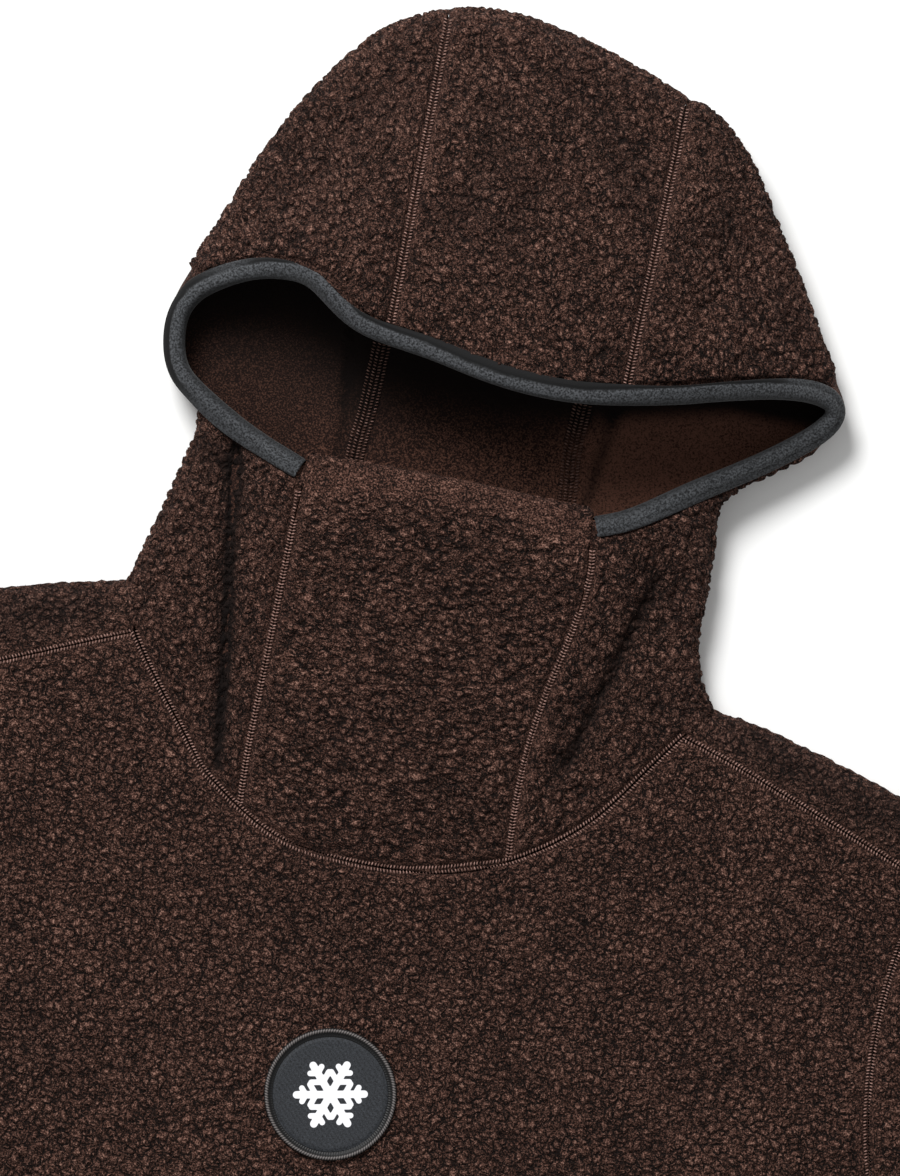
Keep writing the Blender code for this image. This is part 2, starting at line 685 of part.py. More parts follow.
# Rings of a flattened sleeve: over the top from the shoulder seam to the underarm, round the lower
# edge, back along the floor and round the shoulder's fold.
def sleeveRows3d(sign, armhole, strip):
    upper = [Vector(point) for point in armhole]
    lower = backArmhole(armhole, strip)
    underarm = Vector((armhole[-1].x + sign * 1.2, armhole[-1].y - 0.5, 0))
    upper[-1] = Vector((underarm.x, underarm.y, frontLevel))
    lower[-1] = Vector((underarm.x, underarm.y, floorLevel))
    outer = strip[-1][2]
    chord = Vector((underarm.x - outer.x, underarm.y - outer.y, 0))
    tip = chord.normalized() * sleeveFoldOut
    under = Vector((underarm.x + tip.x, underarm.y + tip.y, (floorLevel + frontLevel) / 2))
    ring = upper + [under] + list(reversed(lower)) + [strip[-1][1], strip[-1][2], strip[-1][3]]
    base = Vector((outer.x, outer.y, 0))
    shares = [(Vector((p.x, p.y, 0)) - base).dot(chord) / chord.length_squared for p in ring]
    drift = [Vector((p.x, p.y, 0)) - base - chord * share for p, share in zip(ring, shares)]
    onTop = len(upper)
    floorEnd = onTop + 1 + len(lower)
    rings = [ring]
    angle = math.radians(sleeveAngle)
    down = Vector((sign * math.sin(angle), -math.cos(angle), 0))
    square = Vector((sign * math.cos(angle), math.sin(angle), 0))
    cuffInner = Vector((underarm.x, underarm.y, 0)) + down * underarmLength
    cuffOuter = cuffInner + square * cuffWidth
    shoulderPull = base + Vector((sign * sleeveTopReach, -sleeveTopDrop * sleeveTopReach, 0))
    cuffPull = cuffOuter - down * sleeveCuffPull * underarmLength
    for row in sleeveRows:
        t = row.along
        fade = ease(1 - t / sleeveFade)
        out = base * (1 - t) ** 3 + shoulderPull * 3 * t * (1 - t) ** 2
        out += cuffPull * 3 * t * t * (1 - t) + cuffOuter * t**3
        inner = Vector((underarm.x, underarm.y, 0)) + down * underarmLength * t
        across = inner - out
        newRing = []
        for i, share in enumerate(shares):
            plan = out + across * min(share, 1.0) + drift[i] * fade
            if i == onTop:
                plan += across.normalized() * sleeveFoldOut
            if i < onTop:
                flat = sleeveLevel + row.puff * max(math.sin(math.pi * min(max(share, 0), 1)), 0)
            elif i == onTop:
                flat = (floorLevel + sleeveLevel) / 2
            elif i < floorEnd:
                flat = floorLevel
            else:
                flat = (floorLevel + 0.1, (floorLevel + sleeveLevel) / 2, sleeveLevel)[i - floorEnd]
            if i >= floorEnd:
                away = (1.6, 0.0, 1.6)[i - floorEnd] * (1 - fade) + 6 * fade * share
                plan = out + across.normalized() * away + drift[i] * fade
            newRing.append(Vector((plan.x, plan.y, lerp(flat, ring[i].z, fade))))
        rings.append(newRing)
    return rings


# A closed tube of rings, open at both ends.
def tubePanel(rings):
    closedRings = [ring + [ring[0]] for ring in rings]
    points, faces = gridPanel(closedRings)
    return joined([], [], points, faces)


# A normal for each point, the same for all panels that share the point, and each panel's own.
def vertexNormals(panels):
    shared = {}
    for points, faces in panels.values():
        for face in faces:
            a, b, c = (points[i] for i in face)
            normal = (b - a).cross(c - a)
            for i in face:
                key = tuple(round(v, 2) for v in points[i])
                shared[key] = shared.get(key, Vector((0, 0, 0))) + normal
    normals = {}
    for name, (points, faces) in panels.items():
        normals[name] = [
            shared.get(tuple(round(v, 2) for v in point), Vector((0, 0, 1))).normalized()
            for point in points
        ]
    return normals


# How far each point moves in from the panel's edge to leave the gap at a seam.
def boundaryInsets(points, faces, gap):
    edges = {}
    for face in faces:
        a, b, c = (points[i] for i in face)
        normal = (b - a).cross(c - a).normalized()
        for i, j in zip(face, face[1:] + face[:1]):
            key = (min(i, j), max(i, j))
            edges.setdefault(key, []).append((i, j, normal))
    moves = {}
    rim = []
    for users in edges.values():
        if len(users) == 1:
            i, j, normal = users[0]
            rim.append((i, j))
            inward = normal.cross((points[j] - points[i]).normalized())
            for k in (i, j):
                moves.setdefault(k, []).append(inward)
    insets = {}
    for k, directions in moves.items():
        total = sum(directions, Vector((0, 0, 0)))
        if total.length > 0.2:
            total = total.normalized() / max(total.length / len(directions), 0.55)
        insets[k] = total * gap / 2
    return insets, rim


# A wall of the cloth's thickness on both sides of a panel, with square edges.
def clothWallMesh(name, panel, normals):
    points, faces = panel
    insets, rim = boundaryInsets(points, faces, seamGap)
    count = len(points)
    moved = [point + insets.get(i, Vector((0, 0, 0))) for i, point in enumerate(points)]
    outer = [point + normal * halfWall for point, normal in zip(moved, normals)]
    inner = [point - normal * halfWall for point, normal in zip(moved, normals)]
    cells = list(faces)
    cells += [tuple(i + count for i in reversed(face)) for face in faces]
    for i, j in rim:
        # Both sides of a seam cut their edge's cells along the same diagonal.
        if tuple(points[i]) < tuple(points[j]):
            cells += [(j, i, j + count), (i, i + count, j + count)]
        else:
            cells += [(j, i, i + count), (j, i + count, j + count)]
    for point in outer:
        point.z = max(point.z, 0.0)
    return solidMesh(name, outer + inner, cells)


def solidMesh(name, points, faces):
    mesh = bpy.data.meshes.new(name)
    mesh.from_pydata([point * mm for point in points], [], faces)
    mesh.update()
    return mesh


# The cloth's raw edge round the opening, as points with the cloth's normal there.
def bindingLineOnCloth(left, right, centerRows, normals):
    width = len(left[0])
    line = []
    for index, row in enumerate(hoodSideLeft):
        if row.kind in ("binding", "corner"):
            line.append((left[index + 1][-1], normals["hood_side_left"][(index + 1) * width + width - 1]))
    columns = len(centerRows[0])
    firstBrim = (len(centerRows) - 1) * columns
    for j in range(1, columns - 1):
        line.append((centerRows[-1][j], normals["hood_center"][firstBrim + j]))
    for index, row in reversed(list(enumerate(hoodSideRight))):
        if row.kind in ("binding", "corner"):
            line.append((right[index + 1][-1], normals["hood_side_right"][(index + 1) * width + width - 1]))
    trim = bindingEndTrim
    start = line[0]
    end = line[-1]
    line[0] = (start[0].lerp(line[1][0], trim), start[1].lerp(line[1][1], trim))
    line[-1] = (end[0].lerp(line[-2][0], trim), end[1].lerp(line[-2][1], trim))
    return line


# A U-shaped strip round the edge of the opening. Its outer leg lies on the cloth's face.
def bindingMesh(name, line, ground):
    lowest = -1.0
    points = []
    for i, (point, normal) in enumerate(line):
        before = point - line[max(i - 1, 0)][0]
        after = line[min(i + 1, len(line) - 1)][0] - point
        along = (before.normalized() + after.normalized()).normalized()
        normal = normal.normalized()
        inward = along.cross(normal).normalized()
        for a, lift in bindingOnCloth:
            place = point + inward * a
            height = lowest
            for aside in (-bindingAside, 0.0, bindingAside):
                start = place + along * aside + normal * bindingProbe
                hit = ground.ray_cast(start * mm, -normal, 2 * bindingProbe * mm)
                if hit[0]:
                    height = max(height, bindingProbe - hit[3] / mm)
            points.append(place + normal * (height + lift))
        for a, b in bindingRoundEdge:
            points.append(point + inward * a + normal * b)
    ring = len(bindingOnCloth) + len(bindingRoundEdge)
    faces = []
    for i in range(len(line) - 1):
        for j in range(ring):
            k = (j + 1) % ring
            a = i * ring + j
            b = i * ring + k
            faces.append((a, b, b + ring))
            faces.append((a, b + ring, a + ring))
    mesh = solidMesh(name, points, faces)
    shape = bmesh.new()
    shape.from_mesh(mesh)
    bmesh.ops.holes_fill(shape, edges=[edge for edge in shape.edges if edge.is_boundary])
    bmesh.ops.triangulate(shape, faces=[face for face in shape.faces if len(face.verts) > 4])
    bmesh.ops.recalc_face_normals(shape, faces=shape.faces)
    shape.to_mesh(mesh)
    shape.free()
    return mesh


# The faces of some objects, to find the cloth's surface by.
def surfaceTree(things):
    points = []
    faces = []
    for thing in things:
        first = len(points)
        points += [vertex.co.copy() for vertex in thing.data.vertices]
        faces += [tuple(first + i for i in face.vertices) for face in thing.data.polygons]
    return BVHTree.FromPolygons(points, faces)


# A round patch with a raised rim, on the front panel's own surface.
def patchMesh(name, ground):
    radius = patchDiameter / 2
    segments = patchSegments

    def levelAt(x, y):
        hit = ground.ray_cast(Vector((x * mm, y * mm, 0.2)), Vector((0, 0, -1)))
        return hit[0].z / mm + patchClear

    points = [Vector((0, 0, levelAt(0, 0) + patchThickness))]
    rings = []
    for share, height in patchTop:
        ring = []
        for k in range(segments):
            angle = 2 * math.pi * k / segments
            x = radius * share * math.cos(angle)
            y = radius * share * math.sin(angle)
            ring.append(len(points))
            points.append(Vector((x, y, levelAt(x, y) + height)))
        rings.append(ring)
    for share in patchUnder:
        ring = []
        for k in range(segments):
            angle = 2 * math.pi * k / segments
            x = radius * share * math.cos(angle)
            y = radius * share * math.sin(angle)
            ring.append(len(points))
            points.append(Vector((x, y, levelAt(x, y))))
        rings.append(ring)
    last = len(points)
    points.append(Vector((0, 0, levelAt(0, 0))))
    faces = []
    for low, high in zip(rings, rings[1:]):
        for k in range(segments):
            m = (k + 1) % segments
            faces.append((low[k], high[k], high[m]))
            faces.append((low[k], high[m], low[m]))
    for k in range(segments):
        m = (k + 1) % segments
        faces.append((0, rings[0][k], rings[0][m]))
        faces.append((last, rings[-1][m], rings[-1][k]))
    return solidMesh(name, points, faces)


def clothMaterial(name, color, roughness):
    material = bpy.data.materials.new(name)
    material.use_nodes = True
    shader = material.node_tree.nodes["Principled BSDF"]
    shader.inputs["Base Color"].default_value = color
    shader.inputs["Roughness"].default_value = roughness
    shader.inputs["Metallic"].default_value = 0.0
    material.diffuse_color = color
    return material


def addObject(name, mesh, color, roughness, parent):
    mesh.materials.append(clothMaterial(name + "_cloth", color, roughness))
    thing = bpy.data.objects.new(name, mesh)
    bpy.context.scene.collection.objects.link(thing)
    thing.parent = parent
    return thing


# Moves the whole so that its box's bottom centre is the origin.
def centreOnOrigin(parent, things):
    corners = [vertex.co for thing in things for vertex in thing.data.vertices]
    lowX = min(corner.x for corner in corners)
    highX = max(corner.x for corner in corners)
    lowY = min(corner.y for corner in corners)
    highY = max(corner.y for corner in corners)
    lowZ = min(corner.z for corner in corners)
    parent.location = (-(lowX + highX) / 2, -(lowY + highY) / 2, -lowZ)


def main():
    for thing in list(bpy.data.objects):
        bpy.data.objects.remove(thing)
    inward = inwardDirections()
    left = hoodSideRows(hoodSideLeft, neckSeamLeft, "left", crownTurnLeft, inward)
    right = hoodSideRows(hoodSideRight, neckSeamRight, "right", crownTurnRight, inward)
    centerRows = hoodCenterRows(left, right, inward, len(brimMiddle) + 1)
    faceRows = facePanelRows(left, right, faceColumns)
    stripLeft = shoulderStrip(neckSeamLeft, shoulderLeft)
    stripRight = shoulderStrip(neckSeamRight, shoulderRight)
    panels = {
        "body_front": bodyFrontPanel(left, right, faceRows, stripLeft, stripRight),
        "body_back": bodyBackPanel(left, right, centerRows, stripLeft, stripRight),
        "sleeve_left": tubePanel(sleeveRows3d(-1, armholeLeft, stripLeft)),
        "sleeve_right": tubePanel(sleeveRows3d(1, armholeRight, stripRight)),
        "hood_center": gridPanel(centerRows),
        "hood_side_left": gridPanel(left),
        "hood_side_right": gridPanel(right),
        "face_panel": gridPanel(faceRows),
    }
    for name in ("sleeve_left", "hood_center", "hood_side_right"):
        points, faces = panels[name]
        panels[name] = (points, flipped(faces))
    normals = vertexNormals(panels)
    root = bpy.data.objects.new("hoodie", None)
    bpy.context.scene.collection.objects.link(root)
    things = []
    for name, panel in panels.items():
        mesh = clothWallMesh(name, panel, normals[name])
        things.append(addObject(name, mesh, fleeceBrown, 0.95, root))
    made = {thing.name: thing for thing in things}
    hood = surfaceTree([made[name] for name in ("hood_side_left", "hood_center", "hood_side_right")])
    line = bindingLineOnCloth(left, right, centerRows, normals)
    binding = bindingMesh("opening_binding", line, hood)
    things.append(addObject("opening_binding", binding, bindingCharcoal, 0.75, root))
    patch = patchMesh("chest_patch", surfaceTree([made["body_front"]]))
    things.append(addObject("chest_patch", patch, patchCharcoal, 0.8, root))
    centreOnOrigin(root, things)


main()
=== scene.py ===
import math

import bmesh
import bpy
import numpy as np
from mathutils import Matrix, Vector
from mathutils.bvhtree import BVHTree


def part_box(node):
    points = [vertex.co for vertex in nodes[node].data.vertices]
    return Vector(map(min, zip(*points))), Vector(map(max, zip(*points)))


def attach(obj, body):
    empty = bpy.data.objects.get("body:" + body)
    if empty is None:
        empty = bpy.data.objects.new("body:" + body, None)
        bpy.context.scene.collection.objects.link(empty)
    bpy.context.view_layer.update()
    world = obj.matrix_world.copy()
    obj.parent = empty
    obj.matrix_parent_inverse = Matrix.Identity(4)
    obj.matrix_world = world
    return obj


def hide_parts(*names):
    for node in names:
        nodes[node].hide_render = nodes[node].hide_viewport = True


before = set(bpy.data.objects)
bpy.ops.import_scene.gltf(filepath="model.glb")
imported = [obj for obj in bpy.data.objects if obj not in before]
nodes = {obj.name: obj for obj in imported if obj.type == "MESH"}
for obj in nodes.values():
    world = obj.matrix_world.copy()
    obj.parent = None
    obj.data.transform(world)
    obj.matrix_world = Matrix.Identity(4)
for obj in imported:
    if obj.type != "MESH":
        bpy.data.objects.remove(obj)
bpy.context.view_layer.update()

mm = 0.001

# Plan points in this file are in millimetres from the middle of the chest patch.
patchLow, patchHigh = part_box("chest_patch")
patchCentre = ((patchLow[0] + patchHigh[0]) / 2, (patchLow[1] + patchHigh[1]) / 2)


def hexToLinear(code, alpha=1.0):
    channels = []
    for start in (1, 3, 5):
        value = int(code[start:start + 2], 16) / 255
        channels.append(value / 12.92 if value <= 0.04045 else ((value + 0.055) / 1.055) ** 2.4)
    return (*channels, alpha)


def atPlan(x, y, z=0.0):
    return Vector((x * mm + patchCentre[0], y * mm + patchCentre[1], z * mm))


def addObject(name, data):
    thing = bpy.data.objects.new(name, data)
    bpy.context.scene.collection.objects.link(thing)
    return thing


def smoothStep(low, high, values):
    t = np.clip((values - low) / (high - low), 0.0, 1.0)
    return t * t * (3 - 2 * t)


# The camera looks straight down on the part that the photo shows, turned with the garment.
cameraLook = {
    "centre": (6.7, 203.1),              # the plan point in the middle of the photo
    "height": 459.0, "width": 351.3,     # mm of cloth in the frame
    "turn": 11.4,                        # degrees
    "away": 6.0, "level": 0.012,         # metres from the floor, and the cloth's own height
}


def makeCamera(look):
    lens = bpy.data.cameras.new("camera")
    lens.sensor_width = 36.0
    lens.lens = 36.0 * (look["away"] - look["level"]) / (look["height"] * mm)
    lens.clip_end = 20.0
    lens.dof.use_dof = False
    camera = addObject("camera", lens)
    camera.location = atPlan(*look["centre"]) + Vector((0, 0, look["away"]))
    camera.rotation_euler = (0, 0, math.radians(look["turn"]))
    bpy.context.scene.camera = camera


makeCamera(cameraLook)
print("camera made")


def inPhoto(points, margin):
    # how many metres a plan point lies inside the photo's frame
    centre = np.array(atPlan(*cameraLook["centre"]))[:2]
    turn = math.radians(cameraLook["turn"])
    away = points[:, :2] - centre
    across = away[:, 0] * math.cos(turn) + away[:, 1] * math.sin(turn)
    up = -away[:, 0] * math.sin(turn) + away[:, 1] * math.cos(turn)
    inWidth = cameraLook["width"] * mm / 2 + margin - np.abs(across)
    inHeight = cameraLook["height"] * mm / 2 + margin - np.abs(up)
    return np.minimum(inWidth, inHeight)


def randomOf(cells, seed):
    # 0 to 1 for each cell, the same at every run
    h = cells[:, 0].astype(np.uint32) * np.uint32(374761393)
    h ^= cells[:, 1].astype(np.uint32) * np.uint32(668265263)
    h ^= cells[:, 2].astype(np.uint32) * np.uint32(2246822519)
    h ^= np.uint32(seed * 40503 + 77)
    h = (h ^ (h >> np.uint32(15))) * np.uint32(2654435761)
    h = (h ^ (h >> np.uint32(13))) * np.uint32(1274126177)
    h ^= h >> np.uint32(16)
    return h.astype(np.float64) / 4294967296.0


def cornerWeight(t, corner):
    share = np.abs(1 - np.array(corner) - t)
    return share[:, 0] * share[:, 1] * share[:, 2]


def softNoise(points, seed):
    # value noise, -1 to 1
    base = np.floor(points)
    t = points - base
    t = t * t * (3 - 2 * t)
    cell = base.astype(np.int64)
    total = np.zeros(len(points))
    for corner in np.ndindex(2, 2, 2):
        total += cornerWeight(t, corner) * randomOf(cell + corner, seed)
    return total * 2 - 1


def cellular(points, seed):
    # distance to the nearest and to the second nearest of scattered points, one in each unit cell
    cell = np.floor(points).astype(np.int64)
    near = np.full(len(points), 9.0)
    second = np.full(len(points), 9.0)
    for step in np.ndindex(3, 3, 3):
        here = cell - 1 + step
        spot = here + np.stack([randomOf(here, seed + n) for n in range(3)], axis=1)
        distance = np.linalg.norm(points - spot, axis=1)
        second = np.minimum(second, np.maximum(near, distance))
        near = np.minimum(near, distance)
    return near, second


def slopeNoise(points, seed):
    # gradient noise, about -1 to 1
    base = np.floor(points)
    t = points - base
    s = t * t * t * (t * (t * 6 - 15) + 10)
    cell = base.astype(np.int64)
    total = np.zeros(len(points))
    for corner in np.ndindex(2, 2, 2):
        slope = np.stack([randomOf(cell + corner, seed + n) for n in range(3)], axis=1) * 2 - 1
        slope /= np.maximum(np.linalg.norm(slope, axis=1), 1e-3)[:, None]
        total += cornerWeight(s, corner) * np.sum(slope * (t - corner), axis=1)
    return total * 1.6


def pileHeight(points, look):
    # clumps of curled pile, 0 in a crease and 1 on a dome: domes, smaller curls on them, narrow creases
    place = points / mm
    wander = np.stack([softNoise(place / look["wanderSize"], 11 + n) for n in range(3)], axis=1)
    turn = math.radians(look["grain"])
    along = np.array([math.cos(turn), math.sin(turn), 0.0])
    aside = np.array([-math.sin(turn), math.cos(turn), 0.0])
    place = place + wander * look["wander"]
    scaled = [place @ along / look["long"], place @ aside / look["wide"], place[:, 2] / look["wide"]]
    local = np.stack(scaled, axis=1)
    near, second = cellular(local, 3)
    crease = 1 - smoothStep(0.02, look["creaseWidth"], second - near)
    broken = smoothStep(-0.9, 0.3, softNoise(local * 0.9, 29))
    dome = 1 - np.clip(near * 1.1, 0, 1) ** 2
    curl = np.clip(np.abs(slopeNoise(local * 1.3 + 7.7, 51)) * 2.4, 0, 1)
    small = np.clip(np.abs(slopeNoise(local * 2.5 + 1.9, 61)) * 2.4, 0, 1)
    height = 0.28 + 0.50 * dome + 0.16 * curl + 0.16 * small - look["crease"] * crease * broken
    return np.clip(height, 0.0, 1.0)


def distanceToLine(points, line):
    # plan distance in metres from each point to a line of plan points
    nearest = np.full(len(points), 9.0)
    for (x0, y0), (x1, y1) in zip(line, line[1:]):
        start = np.array(atPlan(x0, y0))[:2]
        along = np.array(atPlan(x1, y1))[:2] - start
        away = points[:, :2] - start
        t = np.clip(away @ along / (along @ along), 0, 1)
        nearest = np.minimum(nearest, np.linalg.norm(away - t[:, None] * along, axis=1))
    return nearest


# Seams that show on top, as plan lines along the panels' edges.
seamLines = {
    "neck": [
        (-110.5, 162), (-104, 152.5), (-95, 141), (-84, 127.5), (-75, 116), (-66, 109), (-57, 103),
        (-44, 96), (-30, 92), (-15, 90.8), (0, 90.8), (12, 92), (24, 94.6), (37, 98.6), (50, 103),
        (60, 109), (70, 116.5), (80, 126), (89, 138), (98, 151.5), (107, 164),
    ],
    "crownLeft": [
        (-36, 297), (-36, 301), (-36.2, 320), (-36.5, 342), (-36.8, 364), (-37, 384), (-37.2, 400),
        (-37.5, 412), (-37.6, 420),
    ],
    "crownRight": [
        (58.5, 292), (58.5, 296.5), (58.6, 315), (59, 334), (59.3, 353), (59.6, 371), (59.8, 386),
        (59.6, 398), (59.5, 404),
    ],
    "faceLeft": [(-57, 105), (-58, 124), (-58, 146), (-58, 170), (-58, 195), (-58, 217), (-58.6, 228)],
    "faceRight": [(49.8, 105), (48.5, 124), (48.7, 146), (51.5, 170), (56.5, 195), (59.2, 217), (58.2, 228)],
    "shoulderLeft": [(-112, 161.3), (-127, 155), (-146, 146.5), (-166, 138), (-192, 128), (-216, 118.5)],
    "shoulderRight": [(109, 163.4), (127, 158), (148, 150.5), (170, 142.5), (192, 134.5), (213, 126.5)],
    "armholeLeft": [
        (-217, 118), (-212, 100), (-209, 80), (-208, 60), (-209.5, 38), (-214, 13), (-223, -12),
        (-236, -36), (-250, -55),
    ],
    "armholeRight": [
        (214, 126), (208, 108), (205, 88), (204, 68), (205.5, 45), (210, 20), (219, -6),
        (232, -30), (246, -50),
    ],
}
# The same two crown seams where the lining shows inside the hood.
innerSeamLines = {
    "innerLeft": [(-38, 186), (-40, 243), (-38.5, 271), (-38, 330), (-38, 384)],
    "innerRight": [(47.7, 186), (45, 243), (43, 271), (47, 330), (55, 374)],
}

# The tape's edge on the fleece, from the face panel's left corner round the brim to the right corner.
openingEdge = [
    (-59, 232), (-71, 236), (-84, 241), (-96, 247), (-109, 254.9), (-116, 260.3), (-120.5, 267.5),
    (-122.8, 276), (-123.5, 284.5), (-122, 292.5), (-117.3, 300.5), (-110.5, 306), (-101.5, 311.5),
    (-89, 316.3), (-75, 317.6), (-65, 315.5), (-56.5, 309), (-47, 302), (-36, 299.5), (-20, 297),
    (-4, 293.2), (12, 290.8), (28, 290.2), (44, 291.5), (58.5, 294.8), (69, 297.3), (80, 300), (90, 303),
    (100, 305.6), (111, 308.3), (121.5, 310), (131.5, 310.6), (140.5, 308.3), (145.6, 302), (144.8, 295),
    (139.6, 287.3), (130, 279), (119.5, 270.9), (107.5, 262.7), (92.5, 253), (80, 243.5), (69, 236.5),
    (57, 232.5),
]

wall = 3.0 * mm  # the cloth's thickness in the CAD panels
weld = 2e-6      # metres, points nearer than this are one


def quadShape(node, shapeLimit):
    # the CAD solid with its triangles joined to quads
    shape = bmesh.new()
    shape.from_mesh(nodes[node].data)
    bmesh.ops.remove_doubles(shape, verts=shape.verts, dist=weld)
    bmesh.ops.join_triangles(shape, faces=shape.faces, angle_face_threshold=math.radians(50),
                             angle_shape_threshold=math.radians(shapeLimit))
    return shape


def panelShape(node):
    # a panel's quads, with its seam edges kept sharp for the smoothing
    shape = quadShape(node, 70)
    crease = shape.edges.layers.float.new("crease_edge")
    posts = [edge for edge in shape.edges if abs(edge.calc_length() - wall) < 0.02 * mm]
    onRim = {vert for edge in posts for vert in edge.verts}
    beside = {face for edge in posts for face in edge.link_faces}
    rim = {face for face in beside if all(vert in onRim for vert in face.verts)}
    outline = [edge for edge in shape.edges if len({face in rim for face in edge.link_faces}) == 2]
    for edge in outline:
        edge[crease] = 1.0
    sharp = set(outline)
    for post in posts:
        for vert in post.verts:
            ways = [(e.other_vert(vert).co - vert.co).normalized() for e in vert.link_edges if e in sharp]
            if len(ways) == 2 and ways[0].dot(ways[1]) > -0.75:
                post[crease] = 1.0
    return shape


def meshArrays(mesh):
    points = np.empty(len(mesh.vertices) * 3)
    mesh.vertices.foreach_get("co", points)
    normals = np.empty(len(mesh.vertices) * 3)
    mesh.vertices.foreach_get("normal", normals)
    return points.reshape(-1, 3), normals.reshape(-1, 3)


def smoothed(name, shape, levels):
    mesh = bpy.data.meshes.new(name)
    shape.to_mesh(mesh)
    shape.free()
    thing = addObject(name, mesh)
    smooth = thing.modifiers.new("smooth", "SUBSURF")
    smooth.levels = levels
    smooth.render_levels = levels
    smooth.boundary_smooth = "ALL"
    graph = bpy.context.evaluated_depsgraph_get()
    finished = bpy.data.meshes.new_from_object(thing.evaluated_get(graph))
    bpy.data.objects.remove(thing)
    return finished


def refined(mesh, outer, pitch, coarsePitch, margin, rounds=7):
    # cuts long edges in halves until none is longer than the pitch, fine where the photo looks
    for _ in range(rounds):
        points, normals = meshArrays(mesh)
        ends = np.empty(len(mesh.edges) * 2, dtype=np.int64)
        mesh.edges.foreach_get("vertices", ends)
        ends = ends.reshape(-1, 2)
        length = np.linalg.norm(points[ends[:, 0]] - points[ends[:, 1]], axis=1)
        middle = (points[ends[:, 0]] + points[ends[:, 1]]) / 2
        facing = outer(points, normals)
        isOuter = np.maximum(facing[ends[:, 0]], facing[ends[:, 1]]) > 0.3
        isUpper = np.maximum(normals[ends[:, 0], 2], normals[ends[:, 1], 2]) > -0.25
        isFine = (inPhoto(middle, margin) > 0) & isOuter & isUpper
        wanted = np.where(isFine, pitch, coarsePitch)
        cut = np.nonzero(length > wanted)[0]
        if not len(cut):
            break
        shape = bmesh.new()
        shape.from_mesh(mesh)
        shape.edges.ensure_lookup_table()
        bmesh.ops.subdivide_edges(shape, edges=[shape.edges[i] for i in cut], cuts=1, use_grid_fill=True)
        shape.to_mesh(mesh)
        shape.free()
        mesh.update()
    return mesh


def addValues(mesh, name, values):
    layer = mesh.attributes.new(name, "FLOAT", "POINT")
    layer.data.foreach_set("value", values.astype(np.float32))


def addPiece(name, mesh, material):
    mesh.materials.clear()
    mesh.materials.append(material)
    mesh.polygons.foreach_set("use_smooth", np.ones(len(mesh.polygons), dtype=bool))
    piece = addObject(name, mesh)
    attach(piece, "root")
    return piece


def addNode(tree, kind, inputs=None, ramp=(), **settings):
    # an input that is a socket or a node is linked, any other is set; ramp gives a colour ramp's stops
    node = tree.nodes.new("ShaderNode" + kind)
    for key, value in settings.items():
        setattr(node, key, value)
    for key, value in (inputs or {}).items():
        if isinstance(value, bpy.types.Node):
            value = value.outputs[0]
        if isinstance(value, bpy.types.NodeSocket):
            tree.links.new(value, node.inputs[key])
        else:
            node.inputs[key].default_value = value
    if ramp:
        stops = node.color_ramp.elements
        stops.remove(stops[1])
        stops[0].position = ramp[0][0]
        stops[0].color = hexToLinear(ramp[0][1])
        for position, code in ramp[1:]:
            stops.new(position).color = hexToLinear(code)
    return node


def newMaterial(name, finish):
    # finish holds what is the same all over the surface, set on the shader's own sockets
    material = bpy.data.materials.new(name)
    material.use_nodes = True
    tree = material.node_tree
    tree.nodes.clear()
    shader = addNode(tree, "BsdfPrincipled", finish)
    addNode(tree, "OutputMaterial", {"Surface": shader})
    return material, tree, shader


# Polyester sherpa, knitted, raised and tumbled: the curled pile is dull all over, with a painted highlight
# on the tips of its clumps and painted shade, near black, in the creases between them. The lining is the
# same knit, brushed flat.
pileTone = {
    "deep": "#0a0504",
    "low": "#291913",
    "body": "#472f27",
    "high": "#61453b",
    "tip": "#8b6a5d",
    "lining": "#180c09",
    "liningLight": "#5c3e32",
    "fibre": 0.66,                # mm, curls of single fibres, drawn as coarse as they need to show
    "fibreTone": 0.42,            # how far fibres, nap, domes and creases move along the colours above
    # nap and domes lighten the colour as a painted highlight, creases darken it as painted shade
    "napPaintedLight": (-0.08, 0.10),
    "domePaintedLight": (-0.10, 0.08),
    "creasePaintedShade": (0.0, -0.50),
    "cloud": 26.0,                # mm, faint uneven patches
    "fibreRelief": 0.34,          # mm
    "clumpRelief": 2.0,           # mm
    "finish": {"Roughness": 0.95, "IOR": 1.5, "Specular IOR Level": 0.15, "Sheen Weight": 0.12,
               "Sheen Roughness": 0.6, "Sheen Tint": hexToLinear("#7a5a50")},
}


